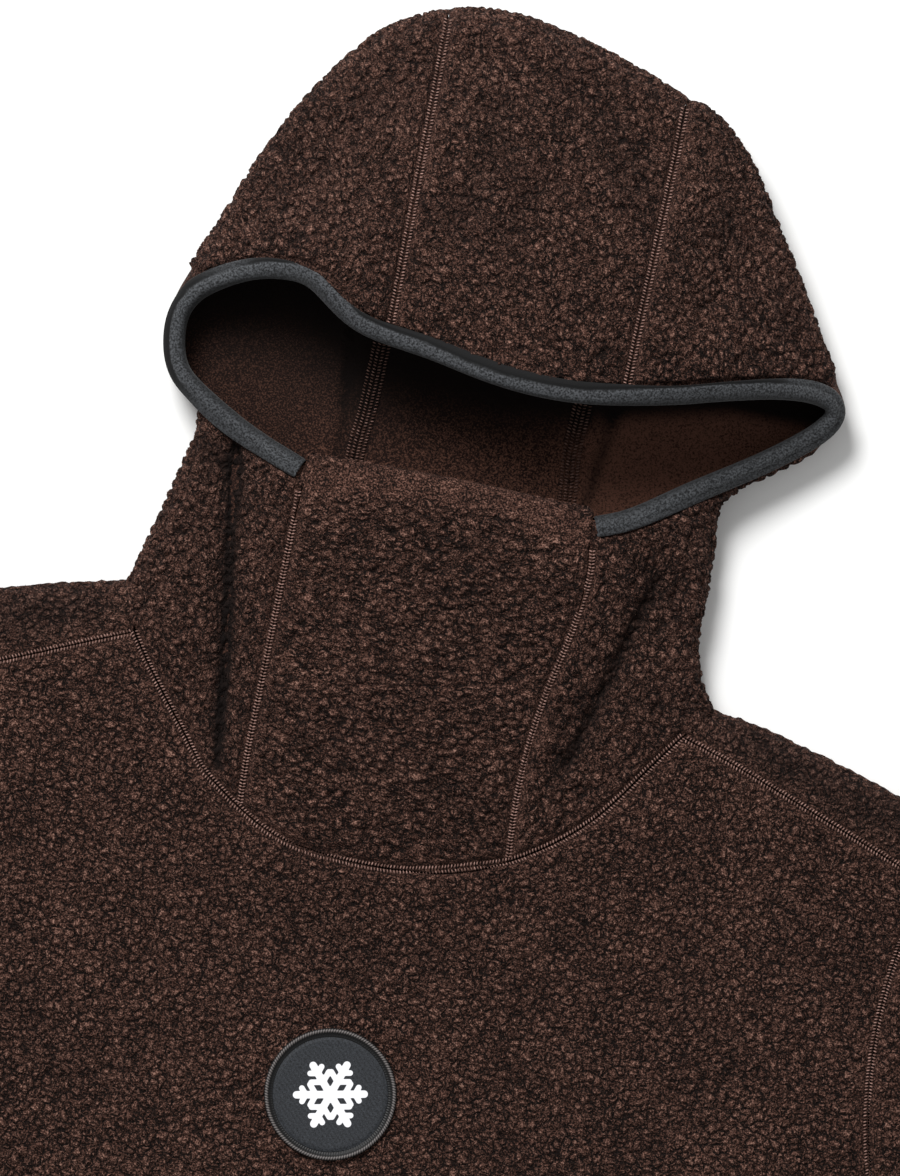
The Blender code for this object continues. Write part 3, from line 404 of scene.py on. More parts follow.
def makeSherpa(name, tone, clump):
    material, tree, shader = newMaterial(name, tone["finish"])
    place = addNode(tree, "TexCoord").outputs["Object"]
    nap, clumped, pile, shade = [
        addNode(tree, "Attribute", attribute_name=key).outputs["Fac"]
        for key in ("nap", "clumped", "pile", "shade")
    ]
    # small clumps, longer along the knit, with bent outlines
    turned = addNode(tree, "VectorRotate", {"Vector": place, "Angle": -math.radians(clump["grain"])},
                     rotation_type="Z_AXIS")
    scales = (1000 / clump["long"], 1000 / clump["wide"], 1000 / clump["wide"])
    local = addNode(tree, "VectorMath", {0: turned, 1: scales}, operation="MULTIPLY")
    wander = addNode(tree, "TexNoise", {"Vector": local, "Scale": 0.8, "Detail": 2.0})
    bend = addNode(tree, "VectorMath", {0: wander.outputs["Color"], 1: (clump["bend"],) * 3},
                   operation="MULTIPLY")
    moved = addNode(tree, "VectorMath", {0: local, 1: bend}, operation="ADD")
    cells = addNode(tree, "TexVoronoi", {"Vector": moved, "Scale": 1.0, "Randomness": 1.0},
                    feature="DISTANCE_TO_EDGE").outputs["Distance"]
    # creases between the clumps, broken here and there
    narrow = addNode(tree, "MapRange", {0: cells, 1: 0.0, 2: clump["crease"], 3: 1.0, 4: 0.0},
                     interpolation_type="SMOOTHSTEP")
    parts = addNode(tree, "TexNoise", {"Vector": moved, "Scale": 0.75, "Detail": 1.0})
    kept = addNode(tree, "MapRange", {0: parts, 1: 0.38, 2: 0.64, 3: 0.15, 4: 1.0})
    broken = addNode(tree, "Math", {0: narrow, 1: kept}, operation="MULTIPLY")
    crease = addNode(tree, "Math", {0: broken, 1: clumped}, operation="MULTIPLY")
    rounded = addNode(tree, "MapRange", {0: cells, 1: 0.0, 2: 0.42, 3: 0.0, 4: 1.0},
                      interpolation_type="SMOOTHSTEP")
    dome = addNode(tree, "Math", {0: rounded, 1: clumped}, operation="MULTIPLY")
    # single fibres, and faint patches over the cloth
    fibre = addNode(tree, "TexNoise", {"Vector": place, "Scale": 1000 / tone["fibre"], "Detail": 1.0,
                                       "Roughness": 0.6, "Distortion": 0.2})
    cloud = addNode(tree, "TexNoise", {"Vector": place, "Scale": 1000 / tone["cloud"], "Detail": 2.0})
    reach = tone["fibreTone"]
    grain = addNode(tree, "MapRange", {0: fibre, 1: 0.33, 2: 0.67, 3: -reach, 4: reach})
    patches = addNode(tree, "MapRange", {0: cloud, 1: 0.3, 2: 0.7, 3: 0.42, 4: 0.52})
    level = addNode(tree, "Math", {0: grain, 1: patches}, operation="ADD")
    # painted light: taller nap and domes make the colour lighter, creases make it darker as painted shade
    for source, key in ((nap, "napPaintedLight"), (dome, "domePaintedLight"), (crease, "creasePaintedShade")):
        part = addNode(tree, "MapRange", {0: source, 1: 0.0, 2: 1.0, 3: tone[key][0], 4: tone[key][1]})
        level = addNode(tree, "Math", {0: level, 1: part}, operation="ADD")
    colour = addNode(tree, "ValToRGB", {0: level},
                     [(0.05, tone["deep"]), (0.30, tone["low"]), (0.52, tone["body"]), (0.75, tone["high"]),
                      (1.0, tone["tip"])])
    # painted light on the lining, lighter towards the right, added to its brushed fibres
    liningPaintedLight = addNode(tree, "MapRange", {0: nap, 1: 0.0, 2: 1.0, 3: -0.12, 4: 0.12})
    brushed = addNode(tree, "Math", {0: fibre, 1: liningPaintedLight}, operation="ADD")
    lining = addNode(tree, "ValToRGB", {0: brushed}, [(0.36, tone["lining"]), (0.68, tone["liningLight"])])
    both = addNode(tree, "Mix", {0: pile, 6: lining, 7: colour}, data_type="RGBA")
    # painted shade: the shade attribute draws the colour towards the deep colour
    deep = hexToLinear(tone["deep"])
    dark = addNode(tree, "Mix", {0: shade, 6: both.outputs[2], 7: deep}, data_type="RGBA")
    tree.links.new(dark.outputs[2], shader.inputs["Base Color"])
    # relief: clumps on the pile, fibres everywhere
    parted = addNode(tree, "Math", {0: dome, 1: crease}, operation="SUBTRACT")
    height = addNode(tree, "Math", {0: parted, 1: pile}, operation="MULTIPLY")
    clumps = addNode(tree, "Bump", {"Height": height, "Strength": 0.9, "Distance": tone["clumpRelief"] * mm})
    fibres = addNode(tree, "Bump", {"Height": fibre, "Normal": clumps, "Strength": 0.9,
                                    "Distance": tone["fibreRelief"] * mm})
    tree.links.new(fibres.outputs[0], shader.inputs["Normal"])
    return material


# Folds: a plan line, how deep and how wide in mm, and how dark its painted shade is. Depth below 0 is a
# ridge.
foldLines = [
    # the neck's narrow fold on the left and the broad one on the right, and a painted shadow under the
    # tape's left corner
    ([(-86, 249), (-83, 228), (-80.5, 205), (-76, 178), (-73, 158), (-70, 130), (-68, 114)],
     2.0, 2.1, 0.95),
    ([(-87, 249), (-84, 228), (-81.5, 205), (-77, 178), (-74, 158), (-71, 134), (-69, 120)],
     0.6, 4.0, 0.45),
    ([(-106, 241), (-95, 237), (-84, 231), (-79, 222)], 1.2, 5.0, 0.55),
    ([(-88, 249), (-85, 228), (-82, 205), (-78, 178), (-75, 158), (-72, 134)], 1.6, 5.0, 0.20),
    ([(-96, 240), (-94, 216), (-92, 194)], 1.0, 5.0, 0.15),
    ([(86, 228), (80, 205), (75, 184), (69, 160), (62, 138)], 2.8, 3.4, 0.78),
    ([(97, 236), (92, 214), (88, 196)], 1.2, 4.0, 0.2),
    # the crown's soft dents
    ([(-92, 372), (-78, 358), (-66, 342)], 1.6, 7.0, 0.22),
    ([(-62, 396), (-54, 372), (-50, 344)], 1.2, 6.0, 0.18),
    ([(-18, 398), (-6, 376), (-16, 352), (-26, 336)], 1.8, 7.5, 0.34),
    ([(16, 372), (4, 350), (-4, 326)], 1.6, 7.0, 0.30),
    ([(14, 404), (30, 392), (46, 370), (52, 350)], 1.2, 11.0, 0.36),
    ([(74, 392), (84, 370), (88, 348)], 1.2, 6.0, 0.2),
    ([(112, 350), (116, 330), (120, 318)], 1.0, 5.0, 0.15),
    # painted shade on the shoulders behind their seams, where they roll away from the light, and drag lines
    # on the torso
    ([(-115, 174), (-150, 162), (-196, 150), (-225, 140)], 0.4, 12.0, 0.50),
    ([(114, 172), (150, 162), (196, 148), (225, 136)], 0.4, 11.0, 0.50),
    ([(-150, 60), (-120, 20), (-96, -30)], 1.0, 9.0, 0.08),
    ([(150, 50), (120, 0), (104, -60)], 1.0, 9.0, 0.08),
    ([(-40, 66), (0, 58), (46, 66)], 0.8, 8.0, 0.06),
    ([(-215, -90), (-160, -190), (-130, -290)], 2.6, 15.0, 0.22),
    ([(-250, -150), (-205, -240), (-196, -330)], -2.2, 13.0, 0.0),
    ([(214, -110), (160, -220), (150, -320)], 2.6, 15.0, 0.22),
    ([(250, -170), (212, -262), (204, -350)], -2.0, 13.0, 0.0),
    ([(-100, -330), (10, -372), (130, -356)], 2.4, 15.0, 0.18),
    ([(-60, -420), (20, -446), (96, -440)], -2.0, 13.0, 0.0),
    ([(-30, -150), (20, -190), (84, -204)], 1.6, 14.0, 0.12),
    # the sleeves
    ([(-290, 50), (-322, -40), (-338, -120)], 2.4, 9.0, 0.25),
    ([(-330, 40), (-372, -30), (-396, -96)], -1.8, 9.0, 0.0),
    ([(-400, -70), (-436, -150), (-466, -216)], 2.4, 9.0, 0.25),
    ([(-470, -130), (-510, -196), (-546, -250)], 1.8, 8.0, 0.2),
    ([(290, 56), (326, -34), (346, -112)], 2.4, 9.0, 0.25),
    ([(336, 44), (380, -26), (404, -92)], -1.8, 9.0, 0.0),
    ([(410, -80), (448, -156), (482, -224)], 2.4, 9.0, 0.25),
    ([(484, -136), (524, -204), (556, -254)], 1.8, 8.0, 0.2),
]

# The lumps in the mesh, for torso, hood, face panel and hood sides. long and wide are a lump's mm along
# and across its grain, wander and wanderSize bend it, creaseWidth is a share of a lump, depth is in mm.
torsoLook = {"long": 3.9, "wide": 3.3, "grain": 35, "wander": 2.0, "wanderSize": 7.0,
             "creaseWidth": 0.34, "crease": 0.34, "depth": 1.5}
hoodLook = {"long": 4.4, "wide": 3.3, "grain": -50, "wander": 2.4, "wanderSize": 8.0,
            "creaseWidth": 0.30, "crease": 0.34, "depth": 2.6}
faceLook = {"long": 4.9, "wide": 3.1, "grain": 12, "wander": 2.2, "wanderSize": 8.0,
            "creaseWidth": 0.30, "crease": 0.36, "depth": 2.4}
sideLook = {"long": 4.4, "wide": 3.3, "grain": 60, "wander": 2.4, "wanderSize": 8.0,
            "creaseWidth": 0.30, "crease": 0.34, "depth": 2.5}

# The smaller clumps in the material, with the same kind of values.
clumpLooks = {
    "Torso": {"long": 3.6, "wide": 3.0, "grain": -35, "bend": 1.2, "crease": 0.14},
    "Hood": {"long": 4.3, "wide": 3.0, "grain": -50, "bend": 1.25, "crease": 0.15},
    "Face": {"long": 5.0, "wide": 3.1, "grain": -15, "bend": 1.25, "crease": 0.16},
}
sherpa = {part: makeSherpa("polyesterSherpa" + part, pileTone, clump) for part, clump in clumpLooks.items()}
print("fleece materials made")


def hoodFacing(points, normals):
    # 1 on the outside of the hood, 0 on its lining
    middle = np.array(atPlan(6, 320))
    middleY = np.minimum(points[:, 1], middle[1])
    outward = np.stack([points[:, 0] - middle[0], points[:, 1] - middleY], axis=1)
    outward /= np.maximum(np.linalg.norm(outward, axis=1), 1e-6)[:, None]
    sideways = np.sum(outward * normals[:, :2], axis=1)
    upper = points[:, 2] > 7 * mm
    up = np.where(upper, normals[:, 2], -normals[:, 2])
    return smoothStep(-0.12, 0.15, up * 0.8 + sideways * (1 - np.abs(normals[:, 2])) + 0.02)


def upFacing(points, normals):
    return smoothStep(-0.1, 0.25, normals[:, 2])


def roundFacing(points, normals):
    # outside of a flat tube or a rolled edge lying on the floor
    upper = points[:, 2] > 4.6 * mm
    up = np.where(upper, normals[:, 2], -normals[:, 2])
    rolled = (points[:, 2] > 2.2 * mm) & (points[:, 2] < 5.5 * mm)
    return np.where(rolled, smoothStep(0.35, 0.7, 1 - np.abs(normals[:, 2])), smoothStep(-0.1, 0.25, up))


def insideLoop(x, y, loop):
    inside = np.zeros(len(x), dtype=bool)
    for (x0, y0), (x1, y1) in zip(loop, loop[1:] + loop[:1]):
        crosses = (y0 > y) != (y1 > y)
        if y0 != y1:
            inside ^= crosses & (x < (x1 - x0) * (y - y0) / (y1 - y0) + x0)
    return inside


def insideOpening(points):
    # 1 where the cloth lies under the tape, at the opening's side of the tape's edge
    x = (points[:, 0] - patchCentre[0]) / mm
    y = (points[:, 1] - patchCentre[1]) / mm
    upper = points[:, 2] > 9 * mm
    under = (insideLoop(x, y, openingEdge) & upper).astype(float)
    # at both corners the tape is the outline, so the pile beside it is pressed as well
    left = smoothStep(-100, -107, x) * (y > 243) * (y < 306)
    corner = np.maximum(left, smoothStep(134, 140, x) * (y > 280))
    beside = 1 - smoothStep(4.0, 9.0, distanceToLine(points, openingEdge) / mm)
    return np.maximum(under, corner * beside)


def besideLine(x, y, line):
    # mm to the right of a plan line that runs upwards, and how far along it, 0 to 1
    (x0, y0), (x1, y1) = line
    length = math.hypot(x1 - x0, y1 - y0)
    right = ((x - x0) * (y1 - y0) - (y - y0) * (x1 - x0)) / length
    return right, ((x - x0) * (x1 - x0) + (y - y0) * (y1 - y0)) / length ** 2


def liningFolds(x, y):
    # the left side's lining stands over the centre's at a soft fold, with a painted shadow to its right; a
    # strip of painted shade runs beside the right seam
    right, along = besideLine(x, y, [(-46.5, 232), (-53, 296)])
    within = smoothStep(-0.3, 0.0, along) * (1 - smoothStep(1.0, 1.4, along))
    rise = 1.8 * np.exp(-np.clip(-right, 0, None) / 12) * (1 - smoothStep(-0.6, 0.8, right)) * within
    dark = 0.6 * smoothStep(-0.4, 0.6, right) * np.exp(-np.clip(right, 0, None) / 5.0) * within
    right, along = besideLine(x, y, [(51.2, 238), (57, 286)])
    within = smoothStep(-0.2, 0.1, along) * (1 - smoothStep(0.9, 1.3, along))
    return rise, dark + 0.65 * np.exp(-((right / 2.2) ** 2)) * within


def liningShade(x, y):
    # the lining gets darker towards the brim, where the hood closes over it
    brimX = [-124, -105, -75, -60, -36, 12, 58, 100, 146]
    brimY = [292, 302, 309, 300, 291, 282, 286, 296, 296]
    below = np.interp(x, brimX, brimY) - y
    reach = np.interp(x, [-120, -95, -60, -40, 0, 40, 60, 130], [34, 46, 48, 50, 28, 20, 9, 7])
    side = 0.30 * (1 - smoothStep(-70, -50, x))
    return (1.0 - side) * (1 - smoothStep(0.05, 1.1, below / reach)) + side + liningFolds(x, y)[1]


def planFolds(points, where):
    # how far the folds sink each point in mm, and how much painted shade they put there
    fold = np.zeros(len(points))
    shade = np.zeros(len(points))
    for line, deep, wide, dark in foldLines:
        away = distanceToLine(points, line) / mm
        starts, stops = [
            np.linalg.norm(points[:, :2] - np.array(atPlan(*end))[:2], axis=1) / mm
            for end in (line[0], line[-1])
        ]
        fadeOut = smoothStep(-2.0, 2.2 * wide, np.minimum(starts, stops))
        strength = np.exp(-((away / wide) ** 2)) * fadeOut * where
        fold += deep * strength
        shade += dark * strength
    return fold, shade


def nearestLine(points, lines, names):
    nearest = np.full(len(points), 9.0)
    for name in names:
        nearest = np.minimum(nearest, distanceToLine(points, lines[name]))
    return nearest


def fleecePanel(node, settings):
    mesh = smoothed(node + "Fleece", panelShape(node), 2)
    facing = settings["facing"]
    hasLining = "inner" in settings
    mesh = refined(mesh, facing, settings["pitch"] * mm, settings["coarse"] * mm, 6 * mm)
    points, normals = meshArrays(mesh)
    x = (points[:, 0] - patchCentre[0]) / mm
    y = (points[:, 1] - patchCentre[1]) / mm
    pile = facing(points, normals)
    pressed = settings["pressed"] * mm
    seam = nearestLine(points, seamLines, settings["seams"])
    inner = nearestLine(points, innerSeamLines, settings.get("inner", ()))
    fine = smoothStep(0.0, 4 * mm, inPhoto(points, 6 * mm)) * smoothStep(0.2, 0.4, pile)
    # the pile stands free beside the stitches and outside the tape
    free = smoothStep(pressed, pressed + 1.8 * mm, seam)
    if hasLining:
        free = free * (1 - insideOpening(points))
    # a turned edge is stretched, so its pile is lower, as it is near a seam
    calm = np.ones(len(points))
    if "turned" in settings:
        calm = smoothStep(2.0 * mm, 11.0 * mm, distanceToLine(points, settings["turned"]))
    calm = calm * (0.35 + 0.65 * smoothStep(pressed, pressed + 4.0 * mm, seam))
    nap = pileHeight(points, settings["look"])
    lumps = settings["loft"] * mm + (nap - 0.5) * settings["look"]["depth"] * mm * fine * calm
    lift = pile * (free * lumps - (1 - free) * settings["sunk"] * mm)
    upperSide = pile * smoothStep(4.2 * mm, 6.0 * mm, points[:, 2]) * smoothStep(0.3, 0.6, normals[:, 2])
    fold, foldShade = planFolds(points, free * upperSide)
    moved = points + normals * lift[:, None]
    moved[:, 2] -= fold * mm
    deepInside = 0.0
    if hasLining:
        isFloor = (points[:, 2] < 5 * mm) & (normals[:, 2] > 0.5)
        moved[:, 2] += liningFolds(x, y)[0] * mm * isFloor
        deepInside = (1 - pile) * liningShade(x, y)
        # painted light: the lining's colour is lighter towards the right
        nap = np.where(pile < 0.5, np.interp(x, [-60, -40, 30, 60], [0.1, 0.1, 0.3, 1.0]), nap)
    moved[:, 2] = np.maximum(moved[:, 2], 0.0)
    mesh.vertices.foreach_set("co", moved.reshape(-1))
    mesh.update()
    # painted shade: the pressed ditches beside the seams, the lining beside its inner seams, the folds and
    # the lining under the brim are darkened through the shade attribute
    ditch = (1 - free) * pile
    innerDitch = (1 - smoothStep(3.4 * mm, 4.6 * mm, inner)) * (1 - pile)
    addValues(mesh, "nap", nap)
    addValues(mesh, "fine", fine)
    addValues(mesh, "clumped", 0.25 + 0.75 * calm * free)
    addValues(mesh, "pile", pile)
    addValues(mesh, "shade", np.clip(0.35 * ditch + 0.30 * innerDitch + foldShade + deepInside, 0, 1))
    piece = addPiece(node + "Fleece", mesh, settings["material"])
    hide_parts(node)
    print(node, "fleece", len(mesh.vertices), "points")
    return piece


# What the panels share: edge lengths in the photo and elsewhere, the width pressed beside a seam, how far
# the pile stands out and how far the ditch sinks, all in mm.
torsoPanel = {"look": torsoLook, "material": sherpa["Torso"], "pitch": 1.8, "coarse": 7.0, "pressed": 1.5,
              "loft": 0.5, "sunk": 0.3}
hoodPanel = {"material": sherpa["Hood"], "pitch": 1.15, "coarse": 3.2, "pressed": 1.7, "loft": 0.9,
             "sunk": 0.4}
tubePanel = {**torsoPanel, "facing": roundFacing, "cut": (0.42, 0.62, 0.155), "on": ["floor"]}
sidePanel = {**hoodPanel, "facing": hoodFacing, "look": sideLook, "cut": (0.24, 0.26, 0.033),
             "on": ["floor"]}
outerSeams = ["shoulderLeft", "shoulderRight", "armholeLeft", "armholeRight"]
panelSettings = {
    "body_back": {**torsoPanel, "facing": roundFacing, "pitch": 1.7, "coarse": 9.0, "seams": outerSeams,
                  "cut": (0.56, 0.75, 0.35), "on": ["floor"]},
    "body_front": {**torsoPanel, "facing": upFacing, "coarse": 6.0, "seams": ["neck"] + outerSeams,
                   "cut": (0.55, 0.70, 0.33), "on": ["body_backFleece"]},
    "sleeve_left": {**tubePanel, "seams": ["armholeLeft"]},
    "sleeve_right": {**tubePanel, "seams": ["armholeRight"]},
    "hood_center": {**hoodPanel, "facing": hoodFacing, "look": hoodLook,
                    "seams": ["crownLeft", "crownRight"], "inner": ["innerLeft", "innerRight"],
                    "cut": (0.105, 0.43, 0.038), "on": ["floor"]},
    "hood_side_left": {**sidePanel, "seams": ["crownLeft", "faceLeft", "neck"], "inner": ["innerLeft"]},
    "hood_side_right": {**sidePanel, "seams": ["crownRight", "faceRight", "neck"], "inner": ["innerRight"]},
    "face_panel": {**hoodPanel, "facing": upFacing, "look": faceLook, "material": sherpa["Face"],
                   "loft": 0.7, "seams": ["faceLeft", "faceRight", "neck"],
                   "turned": [(-58, 233), (-20, 239), (20, 241), (58, 233)],
                   "cut": (0.125, 0.15, 0.0172), "on": ["hood_side_leftFleece", "hood_side_rightFleece"]},
}
fleece = {node: fleecePanel(node, settings) for node, settings in panelSettings.items()}

# Polyester fibre, crimped: matt loose ends that stand out of the pile, lighter where they catch the light.
fibreLook = {
    "length": (0.7, 1.5), "width": 0.17,  # mm
    "everyMm2": 3.2,                      # mm2 of cloth for each fibre
    "dark": "#1d120e", "lit": "#7f6257",
    "finish": {"Roughness": 0.9, "IOR": 1.5, "Specular IOR Level": 0.15},
}


def makeFibreMaterial(look):
    material, tree, shader = newMaterial("crimpedPolyesterFibre", look["finish"])
    tone = addNode(tree, "Attribute", attribute_name="tone").outputs["Fac"]
    colour = addNode(tree, "ValToRGB", {0: tone}, [(0.0, look["dark"]), (1.0, look["lit"])])
    tree.links.new(colour.outputs[0], shader.inputs["Base Color"])
    return material


def fibrePiece(name, panels, look, material, seed):
    # one thin triangle a fibre, thickest at the clumps' tops
    rng = np.random.default_rng(seed)
    roots = []
    ups = []
    tones = []
    for node in panels:
        mesh = fleece[node].data
        points, normals = meshArrays(mesh)
        mesh.calc_loop_triangles()
        corners = np.empty(len(mesh.loop_triangles) * 3, dtype=np.int64)
        mesh.loop_triangles.foreach_get("vertices", corners)
        corners = corners.reshape(-1, 3)
        values = {}
        for key in ("nap", "fine", "clumped", "shade"):
            values[key] = np.empty(len(points), dtype=np.float32)
            mesh.attributes[key].data.foreach_get("value", values[key])
        a, b, c = (points[corners[:, k]] for k in range(3))
        area = np.linalg.norm(np.cross(b - a, c - a), axis=1) / 2 / mm ** 2
        bears = (values["fine"] * values["clumped"] * (1 - values["shade"]))[corners].mean(axis=1)
        chance = area * np.where(bears > 0.5, bears, 0) * (0.3 + values["nap"][corners].mean(axis=1))
        count = int(chance.sum() / look["everyMm2"])
        if count < 1:
            continue
        picked = rng.choice(len(corners), count, p=chance / chance.sum())
        u = rng.random(count)
        v = rng.random(count)
        flip = u + v > 1
        u = np.where(flip, 1 - u, u)
        v = np.where(flip, 1 - v, v)
        weights = np.stack([1 - u - v, u, v], axis=1)[:, :, None]
        roots.append((points[corners[picked]] * weights).sum(axis=1))
        ups.append((normals[corners[picked]] * weights).sum(axis=1))
        tones.append(values["nap"][corners[picked]].mean(axis=1) * 0.6 + rng.random(count) * 0.4)
    root = np.concatenate(roots)
    up = np.concatenate(ups)
    count = len(root)
    lean = rng.normal(0, 1, (count, 3))
    lean -= up * np.sum(lean * up, axis=1)[:, None]
    lean /= np.linalg.norm(lean, axis=1)[:, None]
    side = np.cross(up, lean)
    length = rng.uniform(*look["length"], (count, 1)) * mm
    tip = root + (up * 0.45 + lean * 0.65) * length
    half = side * look["width"] * mm / 2
    base = root - up * 0.15 * mm
    points = np.stack([base - half, base + half, tip], axis=1).reshape(-1, 3)
    points[:, 2] = np.maximum(points[:, 2], 0.0)
    mesh = bpy.data.meshes.new(name)
    mesh.from_pydata(points.tolist(), [], np.arange(count * 3).reshape(-1, 3).tolist())
    mesh.update()
    addValues(mesh, "tone", np.repeat(np.concatenate(tones), 3))
    addPiece(name, mesh, material)
    print(name, count, "fibres")


fibreMaterial = makeFibreMaterial(fibreLook)
hoodPanels = ["hood_center", "hood_side_left", "hood_side_right", "face_panel"]
torsoPanels = ["body_front", "body_back", "sleeve_left", "sleeve_right"]
fibrePiece("hoodPileFibres", hoodPanels, fibreLook, fibreMaterial, 21)
fibrePiece("torsoPileFibres", torsoPanels, fibreLook, fibreMaterial, 22)

# Knitted polyester tape, brushed and folded round the face opening: dull charcoal with a fine speckled
# knit and a darker outer strip; the same dark colour is painted shade on the tape's inner roll.
bindingLook = {
    "base": "#101113", "lit": "#47494c", "strip": "#040405",
    "strips": 2.6,                # mm, the width of the outer strip
    "knit": 0.76,                 # mm, drawn as coarse as it needs to show
    "knitRelief": 0.16,           # mm
    "finish": {"Roughness": 0.8, "IOR": 1.5, "Specular IOR Level": 0.25, "Sheen Weight": 0.08,
               "Sheen Roughness": 0.5},
    "cut": (0.0155, 0.56),        # metres
}


def makeTape(look):
    material, tree, shader = newMaterial("brushedKnitTape", look["finish"])
    place = addNode(tree, "TexCoord").outputs["Object"]
    strip = addNode(tree, "Attribute", attribute_name="strip").outputs["Fac"]
    knit = addNode(tree, "TexNoise",
                   {"Vector": place, "Scale": 1000 / look["knit"], "Detail": 2.0, "Roughness": 0.6})
    tone = addNode(tree, "ValToRGB", {0: knit}, [(0.38, look["base"]), (0.63, look["lit"])])
    # strip: the darker outer strip, and painted shade on the tape's inner roll
    both = addNode(tree, "Mix", {0: strip, 6: tone, 7: hexToLinear(look["strip"])}, data_type="RGBA")
    tree.links.new(both.outputs[2], shader.inputs["Base Color"])
    relief = addNode(tree, "Bump",
                     {"Height": knit, "Strength": 0.7, "Distance": look["knitRelief"] * mm})
    tree.links.new(relief.outputs[0], shader.inputs["Normal"])
    return material


def makeBinding(look):
    shape = quadShape("opening_binding", 80)
    mesh = smoothed("openingBindingTape", shape, 2)
    points, normals = meshArrays(mesh)
    edge = distanceToLine(points, openingEdge)
    strip = 1 - smoothStep(look["strips"] * mm, (look["strips"] + 0.5) * mm, edge)
    # the strip shows most over the brim and round the left corner
    leftCorner = smoothStep(-96, -116, (points[:, 0] - patchCentre[0]) / mm)
    onBrim = smoothStep(30.0 * mm, 36.0 * mm, points[:, 2]) + leftCorner
    strip *= smoothStep(-0.3, 0.2, normals[:, 2]) * np.clip(onBrim, 0.35, 1.0)
    # and the tape's inner roll turns away from the light
    strip = np.maximum(strip, 0.6 * smoothStep(5.4 * mm, 8.6 * mm, edge))
    ditch = np.exp(-(((edge / mm - look["strips"]) / 0.5) ** 2))
    moved = points - normals * (ditch * 0.5 * mm)[:, None]
    mesh.vertices.foreach_set("co", moved.reshape(-1))
    mesh.update()
    addValues(mesh, "strip", strip)
    piece = addPiece("openingBindingTape", mesh, makeTape(look))
    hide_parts("opening_binding")


makeBinding(bindingLook)
print("binding made")

# Round chest patch. The field is polyester twill, woven: fine and matt, with a flat white woven motif.
# The rim is rayon thread, merrowed over the edge, with a painted highlight on each wrap's crest and painted
# shade in the low parts of its section.
patchLook = {
    "radius": 26.0, "field": 22.6, "cell": 0.45,         # mm
    "threads": 150, "around": 750, "slant": 1.6,         # wraps of the rim, its points, and their slant
    "fieldDark": "#0a0b0d", "fieldLight": "#383b40", "motif": "#efeff2",
    "rimShade": "#060607", "rim": "#1c1b1b", "rimHighlight": "#6a6462",
    "twill": 1.675, "speck": 0.5, "weaveRelief": 0.08,   # mm, the weave drawn as coarse as it needs to show
    "fieldFinish": {"Roughness": 0.7, "IOR": 1.5, "Specular IOR Level": 0.3},
    "rimFinish": {"Roughness": 0.55, "IOR": 1.5, "Specular IOR Level": 0.4},
    # mm: share of the radius and height over the cloth, round the rim's section
    "rimSection": [
        (0.86, 0.4), (0.865, 0.9), (0.885, 1.0), (0.915, 1.35), (0.932, 1.95), (0.945, 2.4), (0.960, 2.55),
        (0.976, 2.4), (0.990, 1.9), (1.0, 1.2), (1.0, 0.4), (0.93, 0.25),
    ],
    "cut": (0.052, 0.052), "area": 0.00212,              # metres
}


def groundTree(meshes):
    # for finding the cloth's height under a plan point
    points = []
    faces = []
    for mesh in meshes:
        first = len(points)
        points += [vertex.co.copy() for vertex in mesh.vertices]
        faces += [tuple(first + i for i in face.vertices) for face in mesh.polygons]
    return BVHTree.FromPolygons(points, faces)


def motifDistance(x, y):
    # a plain six-armed star of frost: signed distance in mm, below 0 inside
    best = np.full(len(x), 99.0)
    slope = math.radians(60)
    for n in range(6):
        turn = math.radians(60 * n + 12)
        along = x * math.cos(turn) + y * math.sin(turn)
        aside = np.abs(-x * math.sin(turn) + y * math.cos(turn))
        arm = np.hypot(along - np.clip(along, 0, 13.2), aside) - 1.45
        best = np.minimum(best, arm)
        for start, reach in ((5.6, 4.6), (9.6, 3.0)):
            a = along - start
            t = np.clip(a * math.cos(slope) + aside * math.sin(slope), 0, reach)
            branch = np.hypot(a - t * math.cos(slope), aside - t * math.sin(slope)) - 1.1
            best = np.minimum(best, branch)
    return best


def makePatchMaterials(look):
    field, tree, shader = newMaterial("wovenTwillPatch", look["fieldFinish"])
    place = addNode(tree, "TexCoord").outputs["Object"]
    motif = addNode(tree, "Attribute", attribute_name="motif").outputs["Fac"]
    # a diagonal wave repeats every tau / (10 * scale) along each axis
    scale = math.tau / (10 * math.sqrt(2) * look["twill"] * mm)
    twill = addNode(tree, "TexWave", {"Vector": place, "Scale": scale, "Distortion": 1.5},
                    bands_direction="DIAGONAL").outputs["Fac"]
    speck = addNode(tree, "TexNoise",
                    {"Vector": place, "Scale": 1000 / look["speck"], "Detail": 2.0, "Roughness": 0.7})
    weave = addNode(tree, "Mix", {0: 0.93, 2: twill, 3: speck})
    tone = addNode(tree, "ValToRGB", {0: weave}, [(0.3, look["fieldDark"]), (0.72, look["fieldLight"])])
    edge = addNode(tree, "MapRange", {0: motif, 1: -0.06, 2: 0.06, 3: 1.0, 4: 0.0})
    both = addNode(tree, "Mix", {0: edge, 6: tone, 7: hexToLinear(look["motif"])}, data_type="RGBA")
    tree.links.new(both.outputs[2], shader.inputs["Base Color"])
    relief = addNode(tree, "Bump",
                     {"Height": weave, "Strength": 0.5, "Distance": look["weaveRelief"] * mm})
    tree.links.new(relief.outputs[0], shader.inputs["Normal"])
    rim, tree, shader = newMaterial("merrowedRayonRim", look["rimFinish"])
    rimPaintedLight = addNode(tree, "Attribute", attribute_name="rimPaintedLight").outputs["Fac"]
    tone = addNode(tree, "ValToRGB", {0: rimPaintedLight},
                   [(0.0, look["rimShade"]), (0.55, look["rim"]), (1.0, look["rimHighlight"])])
    tree.links.new(tone.outputs[0], shader.inputs["Base Color"])
    return field, rim


